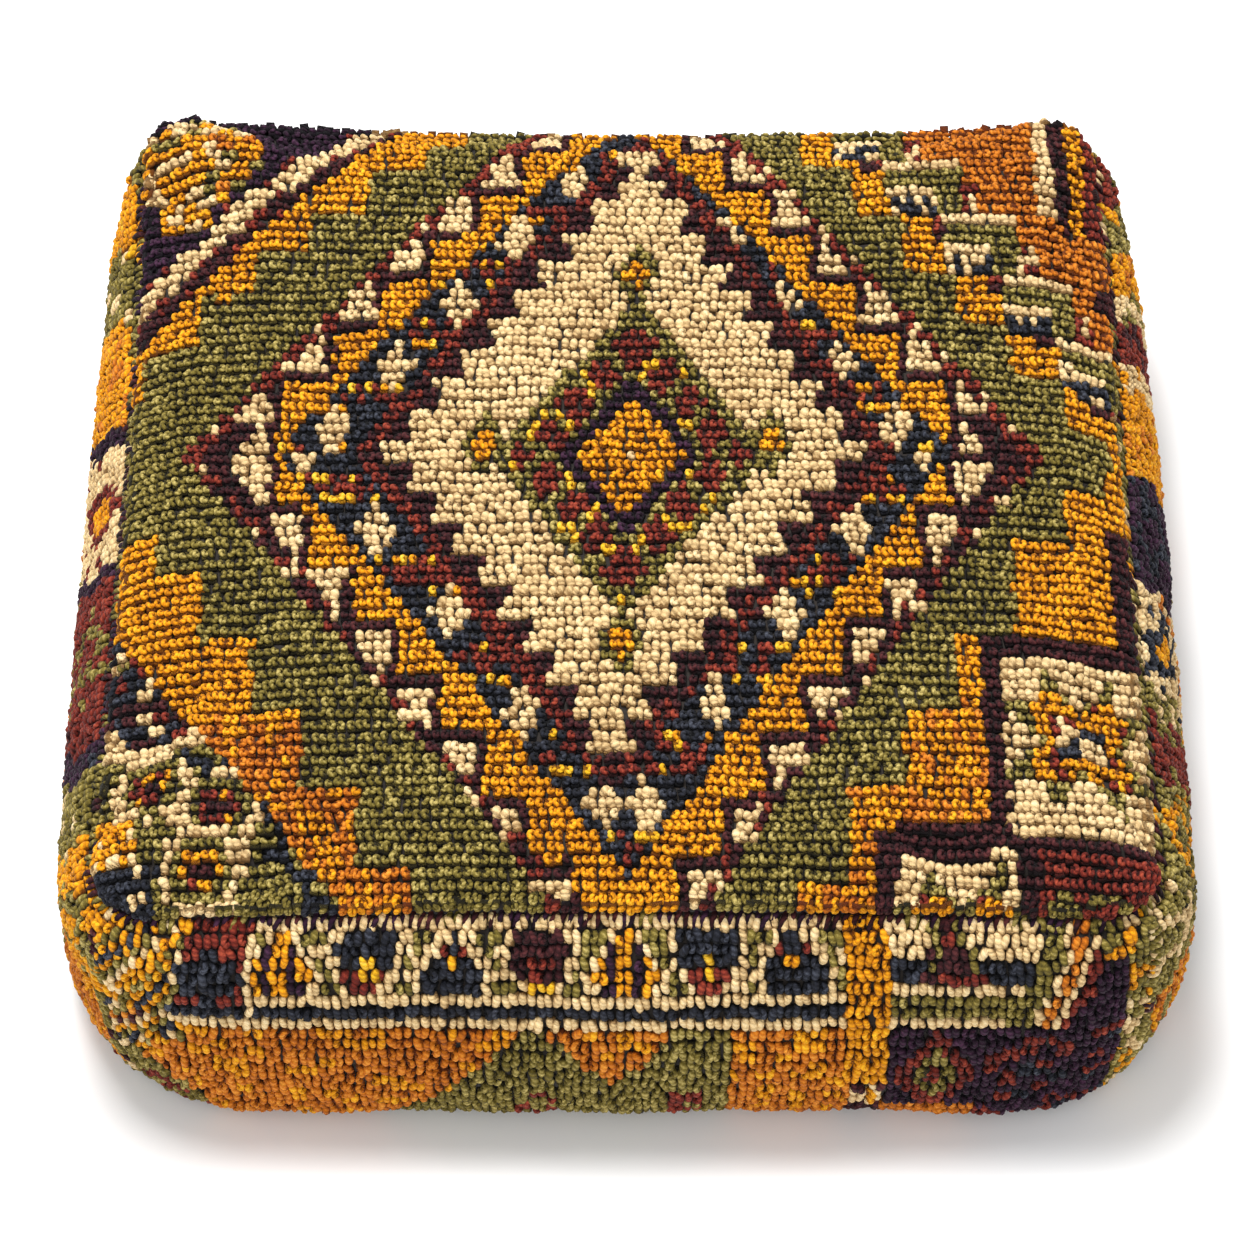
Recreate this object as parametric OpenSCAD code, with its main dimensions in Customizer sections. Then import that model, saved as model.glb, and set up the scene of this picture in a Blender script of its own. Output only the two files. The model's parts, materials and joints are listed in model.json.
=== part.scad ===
// Boxed floor cushion with a knotted rug cover, a canvas base that opens with a zip, and a
// removable insert. It stands on z = 0 with its front towards -Y, and x = y = 0 is its middle.

/* [Cover] */
// Width across the top seam, left to right
cover_w = 600; // [450:5:900]
// Depth across the top seam, front to back
cover_d = 600; // [450:5:900]
// Height of the top seam above the floor
seam_h = 175; // [120:1:260]
// Rise of the middle of the top above the top seam
crown_h = 30; // [20:1:45]
// How far the crown falls from its middle to the corners
crown_fall = 22; // [8:1:30]
// How far the side bands swell out past the top seam
side_bulge = 25; // [10:1:45]
// Corner radius of the top seam, seen from above
corner_r = 60; // [50:1:120]
// Thickness of the knotted rug, backing and pile together
rug_t = 10; // [6:0.5:14]

/* [Base] */
// Thickness of the base canvas
canvas_t = 1.2; // [0.8:0.1:2]
// Height of the canvas hem that turns up inside the side bands
hem_h = 14; // [8:1:24]

/* [Zip] */
// Distance from each end of the zip chain to the side of the top seam
zip_inset = 60; // [50:1:120]
// Width of the closed chain
chain_w = 6; // [5:0.1:9]
// Thickness of the chain
chain_t = 2.4; // [1.8:0.1:3.6]
// Distance from one tooth of a row to the next
tooth_pitch = 3; // [2.4:0.1:5]
// Width of one tape, from the chain outwards
tape_w = 12; // [10:0.5:16]
// Thickness of the tapes
tape_t = 0.7; // [0.4:0.1:1]
// Length of the slider
slider_len = 14; // [10:0.5:20]
// Wall thickness of the slider
slider_wall = 1; // [0.8:0.1:1.6]
// Length of the pull tab, from its pin to its tip
pull_len = 28; // [18:1:40]
// Width of the pull tab
pull_w = 7; // [5:0.5:10]
// Thickness of the pull tab
pull_t = 1.6; // [1.2:0.1:2.4]

/* [Insert] */
// Thickness of the liner cloth
liner_t = 0.8; // [0.4:0.1:1.5]
// Thickness of the fibre layer under the foam
fibre_t = 18; // [12:1:30]
// Depth of the fibre beside the foam, measured in from the top seam
fibre_side = 36; // [30:1:60]
// How far the top of the foam lies below the top seam
foam_drop = 18; // [14:1:30]
// Corner radius of the foam slab, seen from above
foam_r = 30; // [10:1:60]

/* [Stitching] */
// Distance from one stitch of a rug seam to the next
seam_pitch = 12; // [8:1:25]
// Radius of the yarn in the rug seams
yarn_r = 0.9; // [0.5:0.1:1.5]
// Distance from one stitch of the canvas and zip seams to the next
fine_pitch = 10; // [6:1:20]
// Radius of the thread in the canvas and zip seams
thread_r = 0.5; // [0.3:0.1:0.8]

/* [Hidden] */
$fn = 64;
// Fineness of the large arcs of the cushion's outline, and of the ball that cuts the crown
arc_fn = 180;
ball_fn = 256;

// Free play between layers that lie on each other
layer_gap = 0.5;
// Free play between the slider and what it runs along
slide_gap = 0.4;
// Radial play of the pull tab on its pin
pin_gap = 0.08;
// Longer than any part, for cutting shapes that go right through
far = 2000;

// Plan: the middles of the four rounded corners are at [+-half_x, +-half_y].
half_x = cover_w / 2 - corner_r;
half_y = cover_d / 2 - corner_r;
total_h = seam_h + crown_h;

// Edge section, measured outwards from a corner's middle. The side is an arc through the top
// seam, and the shoulder above it is an arc that the crown cuts.
side_mid = seam_h * 0.48;
side_rise = seam_h - side_mid;
side_r = (side_rise * side_rise + side_bulge * side_bulge) / (2 * side_bulge);
side_x = corner_r + side_bulge - side_r;
shoulder_r = crown_h + 4;
shoulder_x = corner_r - shoulder_r;

// The crown is a slice of a large ball.
corner_reach = norm([half_x, half_y]) + corner_r / 2;
crown_r = (corner_reach * corner_reach + crown_fall * crown_fall) / (2 * crown_fall);

// Layers, as distances in from the outside of the cover
canvas_in = rug_t + layer_gap;
zip_in = canvas_in + canvas_t + layer_gap;
liner_in = zip_in;
fibre_in = liner_in + liner_t + layer_gap;

// Zip, from the floor up. The chain runs along X through a channel in the base.
zip_half = cover_w / 2 - zip_inset;
pin_r = 0.9;
eye_r = pin_r + pin_gap + 1.1;
pin_z = eye_r + 0.6;
slider_low = pin_z + eye_r + slide_gap;
chain_z = slider_low + slider_wall + slide_gap + chain_t / 2;
slider_high = chain_z + chain_t / 2 + slide_gap + slider_wall;
slider_half_w = chain_w / 2 + slide_gap + slider_wall;
ledge_top = chain_z - tape_t / 2;
tape_out = chain_w / 2 + tape_w;
channel_half = tape_out + 1;
channel_top = slider_high;
slot_half = slider_half_w + 1.5;
parting = 0.3;
stop_len = 4;
slider_travel = 2 * (zip_half - slide_gap) - slider_len;
slider_x = zip_half - slide_gap - slider_len / 2;
eye_w = 3.6;
lug_w = 1.2;
pull_tilt = asin((pin_z - pull_t / 2 - 0.2) / pull_len);

// Foam slab
foam_low = canvas_t + liner_t + 2 * layer_gap + fibre_t;
foam_high = seam_h - foam_drop;
foam_w = cover_w - 2 * fibre_side;
foam_d = cover_d - 2 * fibre_side;
fibre_split = (foam_low + foam_high) / 2;

rug_colour = "peru";
canvas_colour = "tan";
liner_colour = "ivory";
fibre_colour = "white";
foam_colour = "khaki";
tape_colour = "saddlebrown";
teeth_colour = "sienna";
metal_colour = "darkgoldenrod";
yarn_colour = "maroon";
thread_colour = "wheat";

// ---- shared shapes ----

// Edge section of the layer that lies inset below the surface, from height low upwards
module edge_section(inset, low) {
  reach = corner_r + side_bulge + 1;
  intersection() {
    translate([side_x, side_mid]) circle(r = side_r - inset, $fn = arc_fn);
    translate([0, low]) square([reach, seam_h - low]);
  }
  intersection() {
    translate([shoulder_x, seam_h]) circle(r = shoulder_r - inset, $fn = arc_fn);
    translate([0, seam_h]) square([reach, shoulder_r]);
  }
  translate([0, seam_h]) square([shoulder_x, shoulder_r - inset]);
}

// A straight run of that section, filled in to the middle of the cushion
module straight_run(half_span, half_len, inset, low) {
  rotate([90, 0, 0]) linear_extrude(height = 2 * half_len, center = true) {
    translate([half_span, 0]) edge_section(inset, low);
    translate([-half_span, 0]) mirror([1, 0]) edge_section(inset, low);
    translate([-half_span, low]) square([2 * half_span, seam_h + shoulder_r - inset - low]);
  }
}

// Everything within a layer of the cushion, below the crown
module block(inset, low = 0) {
  straight_run(half_x, half_y, inset, low);
  rotate([0, 0, 90]) straight_run(half_y, half_x, inset, low);
  for (a = [0, 90, 180, 270]) {
    swap = (a % 180 == 0) ? [half_x, half_y] : [half_y, half_x];
    rotate([0, 0, a]) translate([swap[0], swap[1], 0])
      rotate_extrude(angle = 90, $fn = arc_fn) edge_section(inset, low);
  }
}

// Everything within a layer of the cushion, crown included
module form(inset, low = 0) {
  intersection() {
    block(inset, low);
    translate([0, 0, total_h - crown_r]) sphere(r = crown_r - inset, $fn = ball_fn);
  }
}

// All space between two heights
module between(low, high) {
  translate([-far / 2, -far / 2, low]) cube([far, far, high - low]);
}

// Corner middles in turn: front left, front right, back right, back left
function corner_mid(i) = [(i == 1 || i == 2 ? 1 : -1) * half_x, (i >= 2 ? 1 : -1) * half_y];

// The space of one side, between the mitre planes of its two corners
module side_zone(i) {
  a = corner_mid(i);
  b = corner_mid((i + 1) % 4);
  reach = corner_r + side_bulge + 20;
  translate([0, 0, -1]) linear_extrude(height = total_h + 2)
    polygon([
      a,
      a + reach * [sign(a[0]), sign(a[1])],
      b + reach * [sign(b[0]), sign(b[1])],
      b
    ]);
}

// The space above the base, the zip and its channel, with a layer of thickness grow laid on them
module above_base(grow) {
  difference() {
    between(canvas_t + grow, total_h + 1);
    translate([-far / 2, -channel_half - canvas_t - grow, 0])
      cube([far, 2 * (channel_half + canvas_t + grow), channel_top + grow]);
  }
}

// Places its children every pitch along a ring that runs inset within the top seam's outline,
// with +X pointing outwards
module along_ring(ring_r, pitch) {
  straight_x = max(1, round(2 * half_x / pitch));
  straight_y = max(1, round(2 * half_y / pitch));
  turns = max(1, round(ring_r * PI / 2 / pitch));
  for (s = [0, 180], k = [0 : straight_y - 1]) {
    rotate([0, 0, s]) translate([half_x + ring_r, ((k + 0.5) / straight_y * 2 - 1) * half_y, 0])
      children();
  }
  for (s = [90, 270], k = [0 : straight_x - 1]) {
    rotate([0, 0, s]) translate([half_y + ring_r, ((k + 0.5) / straight_x * 2 - 1) * half_x, 0])
      children();
  }
  for (i = [0 : 3], k = [0 : turns - 1]) {
    m = corner_mid(i);
    a = [225, 315, 45, 135][i] + ((k + 0.5) / turns - 0.5) * 90;
    translate([m[0], m[1], 0]) rotate([0, 0, a]) translate([ring_r, 0, 0]) children();
  }
}

// A half of something at y < 0 (side = -1) or y > 0 (side = 1)
module at_side(side) {
  mirror([0, side < 0 ? 1 : 0, 0]) children();
}

// ---- rug cover ----

module top_panel() {
  color(rug_colour) intersection() {
    difference() {
      form(0);
      form(rug_t);
    }
    between(seam_h, total_h + 1);
  }
}

module band(i) {
  color(rug_colour) intersection() {
    difference() {
      block(0);
      block(rug_t, -1);
    }
    between(0, seam_h);
    side_zone(i);
  }
}

module front_band() { band(0); }
module right_band() { band(1); }
module back_band() { band(2); }
module left_band() { band(3); }

// ---- canvas base ----

// Half of the base: the sheet on the floor, the channel wall and ledge beside the zip, and the
// hem that turns up inside the bands
module base_half(side) {
  color(canvas_colour) at_side(side) {
    intersection() {
      block(canvas_in);
      translate([-far / 2, channel_half, 0]) cube([far, far / 2, far]);
      union() {
        between(0, canvas_t);
        difference() {
          between(0, hem_h);
          block(canvas_in + canvas_t, -1);
        }
      }
    }
    intersection() {
      block(canvas_in);
      union() {
        translate([-far / 2, channel_half, 0]) cube([far, canvas_t, ledge_top]);
        translate([-far / 2, slot_half, ledge_top - canvas_t])
          cube([far, channel_half + canvas_t - slot_half, canvas_t]);
      }
    }
  }
}

module base_front() { base_half(-1); }
module base_back() { base_half(1); }

// ---- insert ----

module liner_shell() {
  intersection() {
    difference() {
      form(liner_in);
      form(liner_in + liner_t, -1);
    }
    above_base(layer_gap);
  }
}

module liner_top() {
  color(liner_colour) intersection() {
    liner_shell();
    between(seam_h, total_h);
  }
}

module liner_band() {
  color(liner_colour) intersection() {
    liner_shell();
    between(0, seam_h);
  }
}

module liner_base() {
  color(liner_colour) intersection() {
    block(liner_in + liner_t);
    difference() {
      above_base(layer_gap);
      above_base(layer_gap + liner_t);
    }
    between(0, fibre_split);
  }
}

// Foam slab, grown on every side by a gap
module foam_slab(grow) {
  r = foam_r + grow;
  x = foam_w / 2 - foam_r;
  y = foam_d / 2 - foam_r;
  translate([0, 0, foam_low - grow]) linear_extrude(height = foam_high - foam_low + 2 * grow) {
    square([2 * (x + r), 2 * y], center = true);
    square([2 * x, 2 * (y + r)], center = true);
    for (sx = [-1, 1], sy = [-1, 1]) translate([sx * x, sy * y]) circle(r = r);
  }
}

module foam_core() {
  color(foam_colour) foam_slab(0);
}

module fibre_shell() {
  difference() {
    intersection() {
      form(fibre_in);
      above_base(liner_t + 2 * layer_gap);
    }
    foam_slab(layer_gap);
  }
}

module fibre_top() {
  color(fibre_colour) intersection() {
    fibre_shell();
    between(fibre_split, total_h);
  }
}

module fibre_base() {
  color(fibre_colour) intersection() {
    fibre_shell();
    between(0, fibre_split);
  }
}

// ---- zip ----

module zip_tape(side) {
  color(tape_colour) at_side(side) intersection() {
    block(zip_in);
    translate([-far / 2, chain_w / 2, ledge_top]) cube([far, tape_w, tape_t]);
  }
}

// One row of teeth: a spine against the tape, and teeth that reach in to the parting line
module zip_row(side) {
  spine = chain_w / 8;
  count = floor((2 * zip_half - tooth_pitch / 2) / tooth_pitch);
  first = -count * tooth_pitch / 2 + tooth_pitch / 4;
  color(teeth_colour) at_side(side)
    translate([0, 0, chain_z - chain_t / 2]) linear_extrude(height = chain_t) {
      translate([-zip_half, chain_w / 2 - spine]) square([2 * zip_half, spine]);
      for (k = [0 : count - 1])
        translate([first + k * tooth_pitch, parting])
          square([tooth_pitch / 2, chain_w / 2 - spine - parting + 0.1]);
    }
}

module zip_tape_front() { zip_tape(-1); }
module zip_tape_back() { zip_tape(1); }
module zip_teeth_front() { zip_row(-1); }
module zip_teeth_back() { zip_row(1); }

// Clips at the closed end, thicker than the slider's channel, so that it stops against them
module zip_top_stops() {
  stop_t = chain_t + 3 * slide_gap;
  color(metal_colour) for (side = [-1, 1]) at_side(side)
    translate([zip_half, parting, chain_z - stop_t / 2])
      cube([stop_len, chain_w / 2 - parting, stop_t]);
}

// The box that holds both rows together at the other end
module zip_bottom_stop() {
  stop_t = chain_t + 3 * slide_gap;
  color(metal_colour) translate([-zip_half - stop_len, -chain_w / 2, chain_z - stop_t / 2])
    cube([stop_len, chain_w, stop_t]);
}

// Canvas patches that close the slot beyond each end of the chain
module zip_end_patches() {
  patch_from = zip_half + stop_len + 4;
  color(canvas_colour) for (side = [-1, 1]) intersection() {
    block(zip_in);
    mirror([side < 0 ? 1 : 0, 0, 0])
      translate([patch_from, -channel_half + layer_gap, ledge_top - 2 * canvas_t])
        cube([far, 2 * (channel_half - layer_gap), canvas_t]);
  }
}

// Two plates joined by a thin web in the parting line, with flanges that hold the rows together
// and, underneath, two lugs with the pin for the pull tab
module zip_slider() {
  flange_h = (chain_t - tape_t) / 2;
  lug_out = eye_w / 2 + slide_gap;
  color(metal_colour) translate([slider_x, 0, 0]) {
    for (low = [slider_low, slider_high - slider_wall])
      translate([-slider_len / 2, -slider_half_w, low])
        cube([slider_len, 2 * slider_half_w, slider_wall]);
    for (side = [-1, 1]) at_side(side) {
      translate([-slider_len / 2, slider_half_w - slider_wall, slider_low])
        cube([slider_len, slider_wall, slider_wall + flange_h]);
      translate([-slider_len / 2, slider_half_w - slider_wall, slider_high - slider_wall - flange_h])
        cube([slider_len, slider_wall, slider_wall + flange_h]);
      translate([-eye_r, lug_out, pin_z]) cube([2 * eye_r, lug_w, slider_low - pin_z + 0.1]);
      translate([0, lug_out + lug_w, pin_z]) rotate([90, 0, 0]) cylinder(r = eye_r, h = lug_w);
    }
    translate([-slider_len / 2, -parting / 2, slider_low])
      cube([slider_len, parting, slider_high - slider_low]);
    translate([0, lug_out + 0.1, pin_z]) rotate([90, 0, 0])
      cylinder(r = pin_r, h = 2 * lug_out + 0.2);
  }
}

// Flat tab with an eye round the pin. It lies along the chain, tip down on the floor.
module zip_pull() {
  neck = eye_r + 1.2;
  rib_w = 1;
  color(metal_colour) translate([slider_x, 0, pin_z]) rotate([0, -pull_tilt, 0]) difference() {
    union() {
      translate([0, eye_w / 2, 0]) rotate([90, 0, 0]) cylinder(r = eye_r, h = eye_w);
      translate([-neck - 1, -eye_w / 2, -pull_t / 2]) cube([neck + 1, eye_w, pull_t]);
      translate([0, 0, -pull_t / 2]) linear_extrude(height = pull_t) {
        translate([-pull_len + pull_w / 2, -pull_w / 2])
          square([pull_len - pull_w / 2 - neck, pull_w]);
        translate([-pull_len + pull_w / 2, 0]) circle(r = pull_w / 2);
      }
      for (k = [0 : 2])
        translate([-pull_len * 0.5 - 2 * rib_w * k, -pull_w / 2 + 0.8, -pull_t / 2])
          cube([rib_w, pull_w - 1.6, pull_t + 0.4]);
    }
    translate([0, far / 2, 0]) rotate([90, 0, 0]) cylinder(r = pin_r + pin_gap, h = far);
  }
}

// ---- stitching ----

// Upright stitches from the top panel's edge down into the bands
module top_seam_yarn() {
  stitch = rug_t;
  color(yarn_colour) along_ring(corner_r - rug_t / 2, seam_pitch)
    translate([0, 0, seam_h - stitch / 2]) cylinder(r = yarn_r, h = stitch);
}

// Level stitches across the mitre at each corner
module corner_seam_yarn() {
  stitch = rug_t;
  count = floor((seam_h - 2 * seam_pitch) / seam_pitch);
  color(yarn_colour) for (i = [0 : 3], k = [0 : count - 1]) {
    m = corner_mid(i);
    z = seam_pitch * (k + 1.5);
    r = side_x + sqrt(pow(side_r - rug_t / 2, 2) - pow(z - side_mid, 2));
    translate([m[0], m[1], z]) rotate([0, 0, [225, 315, 45, 135][i]])
      translate([r, stitch / 2, 0]) rotate([90, 0, 0]) cylinder(r = yarn_r, h = stitch);
  }
}

// Level stitches from the canvas hem out into the bands. Their upper edge starts at the inner
// face of the hem, which leans outwards as it rises, so no stitch reaches the liner.
module base_seam_thread() {
  stitch = rug_t * 0.5;
  z = hem_h * 0.6;
  r = side_x + sqrt(pow(side_r - canvas_in - canvas_t, 2) - pow(z + thread_r - side_mid, 2));
  color(thread_colour) along_ring(r, fine_pitch)
    translate([0, 0, z]) rotate([0, 90, 0]) cylinder(r = thread_r, h = stitch);
}

// Upright stitches through each tape and its ledge
module zip_seam_thread() {
  low = ledge_top - canvas_t - thread_r;
  reach = zip_half + stop_len;
  count = floor(2 * reach / fine_pitch);
  y = (slot_half + channel_half) / 2;
  color(thread_colour) for (side = [-1, 1], k = [0 : count - 1])
    translate([-reach + (k + 0.5) * 2 * reach / count, side * y, low])
      cylinder(r = thread_r, h = canvas_t + tape_t + 2 * thread_r);
}

top_panel();
front_band();
right_band();
back_band();
left_band();
base_front();
base_back();
liner_top();
liner_band();
liner_base();
fibre_top();
fibre_base();
foam_core();
zip_tape_front();
zip_tape_back();
zip_teeth_front();
zip_teeth_back();
zip_top_stops();
zip_bottom_stop();
zip_end_patches();
zip_slider();
zip_pull();
top_seam_yarn();
corner_seam_yarn();
base_seam_thread();
zip_seam_thread();
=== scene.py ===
"""Floor cushion with a knotted rug cover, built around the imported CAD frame. Metres, front towards -Y."""
import json
import math

import bmesh
import bpy
import numpy as np
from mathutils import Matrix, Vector, noise
from mathutils.kdtree import KDTree

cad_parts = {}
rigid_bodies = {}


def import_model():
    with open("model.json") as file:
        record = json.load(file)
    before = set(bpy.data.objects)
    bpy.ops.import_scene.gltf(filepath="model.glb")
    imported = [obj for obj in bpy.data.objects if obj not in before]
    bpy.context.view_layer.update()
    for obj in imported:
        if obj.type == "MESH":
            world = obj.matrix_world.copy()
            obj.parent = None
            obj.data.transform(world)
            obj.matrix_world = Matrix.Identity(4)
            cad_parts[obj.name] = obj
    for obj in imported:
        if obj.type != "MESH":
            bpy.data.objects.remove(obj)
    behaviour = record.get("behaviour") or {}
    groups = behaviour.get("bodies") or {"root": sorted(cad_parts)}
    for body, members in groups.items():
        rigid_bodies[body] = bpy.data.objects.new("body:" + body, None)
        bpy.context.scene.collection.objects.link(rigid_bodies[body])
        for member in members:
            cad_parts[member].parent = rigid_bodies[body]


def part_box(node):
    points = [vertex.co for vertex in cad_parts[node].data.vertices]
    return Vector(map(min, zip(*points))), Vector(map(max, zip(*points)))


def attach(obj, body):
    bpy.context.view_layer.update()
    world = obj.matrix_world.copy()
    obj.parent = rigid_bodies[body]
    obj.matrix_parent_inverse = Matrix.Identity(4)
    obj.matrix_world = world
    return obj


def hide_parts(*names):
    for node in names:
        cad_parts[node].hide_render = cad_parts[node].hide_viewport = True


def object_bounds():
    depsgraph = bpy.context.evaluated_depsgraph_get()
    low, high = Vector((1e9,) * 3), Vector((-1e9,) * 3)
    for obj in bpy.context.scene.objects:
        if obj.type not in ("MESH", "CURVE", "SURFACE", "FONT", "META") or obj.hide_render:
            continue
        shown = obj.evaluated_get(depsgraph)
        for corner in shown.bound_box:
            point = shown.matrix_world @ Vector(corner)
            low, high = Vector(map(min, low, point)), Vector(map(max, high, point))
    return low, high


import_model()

cad_low, cad_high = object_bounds()
rng = np.random.default_rng(20)  # every chance turn, size and tone comes from here, in order
TAU = 2 * math.pi

# ---- sizes from the frame ----
top_low, top_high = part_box("top_panel")
SEAM_Z, TOP_Z, HALF = top_low.z, top_high.z, top_high.x
BULGE = cad_high.x - HALF
CORNER_R = 0.040            # corner radius of the top seam
COLUMN, ROW = 0.0050, 0.0080  # distance between columns and rows of knots
PILE = 0.0052               # depth of the pile over its woven ground
GROUND = 0.0012             # thickness of the woven ground


# ---- camera, floor, light ----
def look_from(azimuth, elevation, distance, target):
    a, e = math.radians(azimuth), math.radians(elevation)
    back = Vector((math.sin(a) * math.cos(e), -math.cos(a) * math.cos(e), math.sin(e)))
    return target + back * distance, (-back).to_track_quat("-Z", "Y")


def make_camera():
    data = bpy.data.cameras.new("camera")
    camera = bpy.data.objects.new("camera", data)
    bpy.context.scene.collection.objects.link(camera)
    camera.rotation_mode = "QUATERNION"
    azimuth, elevation, distance, sensor = 0, 51.3, 3.05, 36.0
    middle = Vector((0.0012, -0.0290, 0.100))
    camera.location, camera.rotation_quaternion = look_from(azimuth, elevation, distance, middle)
    data.sensor_width, data.lens = sensor, sensor * 1.657 * distance / 1.254
    data.clip_start, data.clip_end = 0.05, 50.0
    bpy.context.scene.camera = camera


def area_light(name, size, power, place, colour=(1, 1, 1)):
    data = bpy.data.lights.new(name, "AREA")
    data.shape, data.size, data.energy, data.color = "SQUARE", size, power, colour
    light = bpy.data.objects.new(name, data)
    bpy.context.scene.collection.objects.link(light)
    light.location = place
    light.rotation_mode = "QUATERNION"
    light.rotation_quaternion = (Vector((0, 0, 0.1)) - Vector(place)).to_track_quat("-Z", "Y")


def make_studio():
    mesh = bpy.data.meshes.new("floor")
    s = 30.0
    mesh.from_pydata([(-s, -s, 0), (s, -s, 0), (s, s, 0), (-s, s, 0)], [], [(0, 1, 2, 3)])
    floor = bpy.data.objects.new("floor", mesh)
    bpy.context.scene.collection.objects.link(floor)
    material = bpy.data.materials.new("floor_white")
    material.use_nodes = True
    shader = material.node_tree.nodes["Principled BSDF"]
    shader.inputs["Base Color"].default_value = (0.93, 0.93, 0.93, 1)
    shader.inputs["Roughness"].default_value = 0.9
    shader.inputs["Specular IOR Level"].default_value = 0.1
    mesh.materials.append(material)
    world = bpy.data.worlds.new("studio")
    world.use_nodes = True
    world.node_tree.nodes["Background"].inputs["Color"].default_value = (1, 1, 1, 1)
    world.node_tree.nodes["Background"].inputs["Strength"].default_value = 0.69
    bpy.context.scene.world = world
    bpy.context.scene.view_settings.view_transform = "Standard"
    area_light("key", 1.1, 102, (-0.42, 0.35, 3.0))
    area_light("fill", 1.6, 22, (-0.3, -2.6, 2.4))


# ---- form of the cushion ----
def outline(share, half, radius):
    """Point and outward normal at a share of the way round a rounded square, from the middle of the front
    anticlockwise seen from above, and the share of its own side, -0.5 to 0.5."""
    q = np.asarray(share, float) * 4
    side = np.floor(q + 0.5).astype(int) % 4
    local = (q + 0.5) % 1 - 0.5
    run = half - radius
    along = local * (2 * run + math.pi / 2 * radius)
    sign = np.where(along < 0, -1.0, 1.0)
    turn = np.maximum(np.abs(along) - run, 0) / np.maximum(radius, 1e-9)
    straight = np.abs(along) <= run
    x = np.where(straight, along, sign * (run + radius * np.sin(turn)))
    y = np.where(straight, -half, -(run + radius * np.cos(turn)))
    nx, ny = np.where(straight, 0.0, sign * np.sin(turn)), np.where(straight, -1.0, -np.cos(turn))
    c, s = np.array([1, 0, -1, 0])[side], np.array([0, 1, 0, -1])[side]
    return x * c - y * s, x * s + y * c, nx * c - ny * s, nx * s + ny * c, local


# Edge roll of the top: inward distance and share of the crown's height, by distance along the cloth
def bezier(points, n=200):
    t = np.linspace(0, 1, n)[:, None]
    a, b, c, d = (np.array(p, float) for p in points)
    return (1 - t) ** 3 * a + 3 * (1 - t) ** 2 * t * b + 3 * (1 - t) * t ** 2 * c + t ** 3 * d


roll = bezier([(0, 0), (-0.0100, 0.0115), (0.002, 0.0195), (0.034, 0.0195)])
roll_s = np.concatenate([[0], np.cumsum(np.hypot(*np.diff(roll, axis=0).T))])
ROLL = roll_s[-1]
FLAT_EXTRA = ROLL - roll[-1, 0]
FLAT_HALF = HALF + FLAT_EXTRA
FLAT_R = CORNER_R + FLAT_EXTRA
PULL = 0.0035


def crown(x, y):
    """Height of the top: it falls a little to the middle of each side, and hardly more to the corners."""
    side = np.maximum(np.abs(x), np.abs(y)) / HALF
    middle = (x * x + y * y) / HALF ** 2
    return TOP_Z - 0.0025 - 0.0062 * side ** 2 - 0.0028 * middle


def stand_out(points, share):
    """The corners stand out past the pulled-in sides, most of all the two at the back."""
    x, y = points[..., 0], points[..., 1]
    g = np.clip((np.minimum(np.abs(x), np.abs(y)) - 0.12) / 0.17, 0, 1) ** 2 * share
    reach_x = np.where(y > 0, np.where(x > 0, -0.0050, 0.0045), 0.0015)
    reach_y = np.where(y > 0, 0.0085, 0.0015)
    back = (0.0055 + 0.0040 * np.clip(-x / 0.2, 0, 1)) * np.clip(y / HALF, 0, 1) ** 2 * share
    return points + np.stack([np.sign(x) * reach_x * g, np.sign(y) * reach_y * g + back,
                              np.where(y > 0, 0.0045, 0.0) * g], -1)


def soft(x, y, size, depth, seed):
    """Smooth unevenness, from a few slow waves."""
    g = np.random.default_rng(seed)
    total = 0.0
    for _ in range(7):
        kx, ky = g.normal(0, 1 / size, 2)
        total = total + np.sin(TAU * (kx * x + ky * y) + g.uniform(0, TAU))
    return total * depth / 2.6


def top_point(fx, fy):
    """The top's surface at a point of its flat cloth."""
    qx, qy = np.abs(fx) - (FLAT_HALF - FLAT_R), np.abs(fy) - (FLAT_HALF - FLAT_R)
    corner = (qx > 0) & (qy > 0)
    reach = np.maximum(np.hypot(qx, qy), 1e-9)
    depth = np.where(corner, FLAT_R - reach, FLAT_HALF - np.maximum(np.abs(fx), np.abs(fy)))
    wide = np.abs(fx) >= np.abs(fy)
    nx = np.where(corner, qx / reach, np.where(wide, 1.0, 0.0)) * np.where(fx < 0, -1, 1)
    ny = np.where(corner, qy / reach, np.where(wide, 0.0, 1.0)) * np.where(fy < 0, -1, 1)
    d = np.clip(depth, 0, None)
    inward = np.where(d < ROLL, np.interp(d, roll_s, roll[:, 0]), roll[-1, 0] + d - ROLL)
    rise = np.where(d < ROLL, np.interp(d, roll_s, roll[:, 1] / roll[-1, 1]), 1.0)
    local = np.where(wide, fy, fx) / (2 * FLAT_HALF)
    pull = PULL * np.cos(math.pi * np.clip(local, -0.5, 0.5)) ** 2 * np.clip(1 - d / 0.13, 0, 1) ** 1.5
    shift = d - FLAT_EXTRA - inward - pull
    x, y = fx + nx * shift, fy + ny * shift
    z = SEAM_Z + rise * (crown(x, y) - SEAM_Z)
    z = z + rise * soft(x, y, 0.16, 0.0011, 3)
    return stand_out(np.stack([x, y, z], -1), 1.0)


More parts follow.
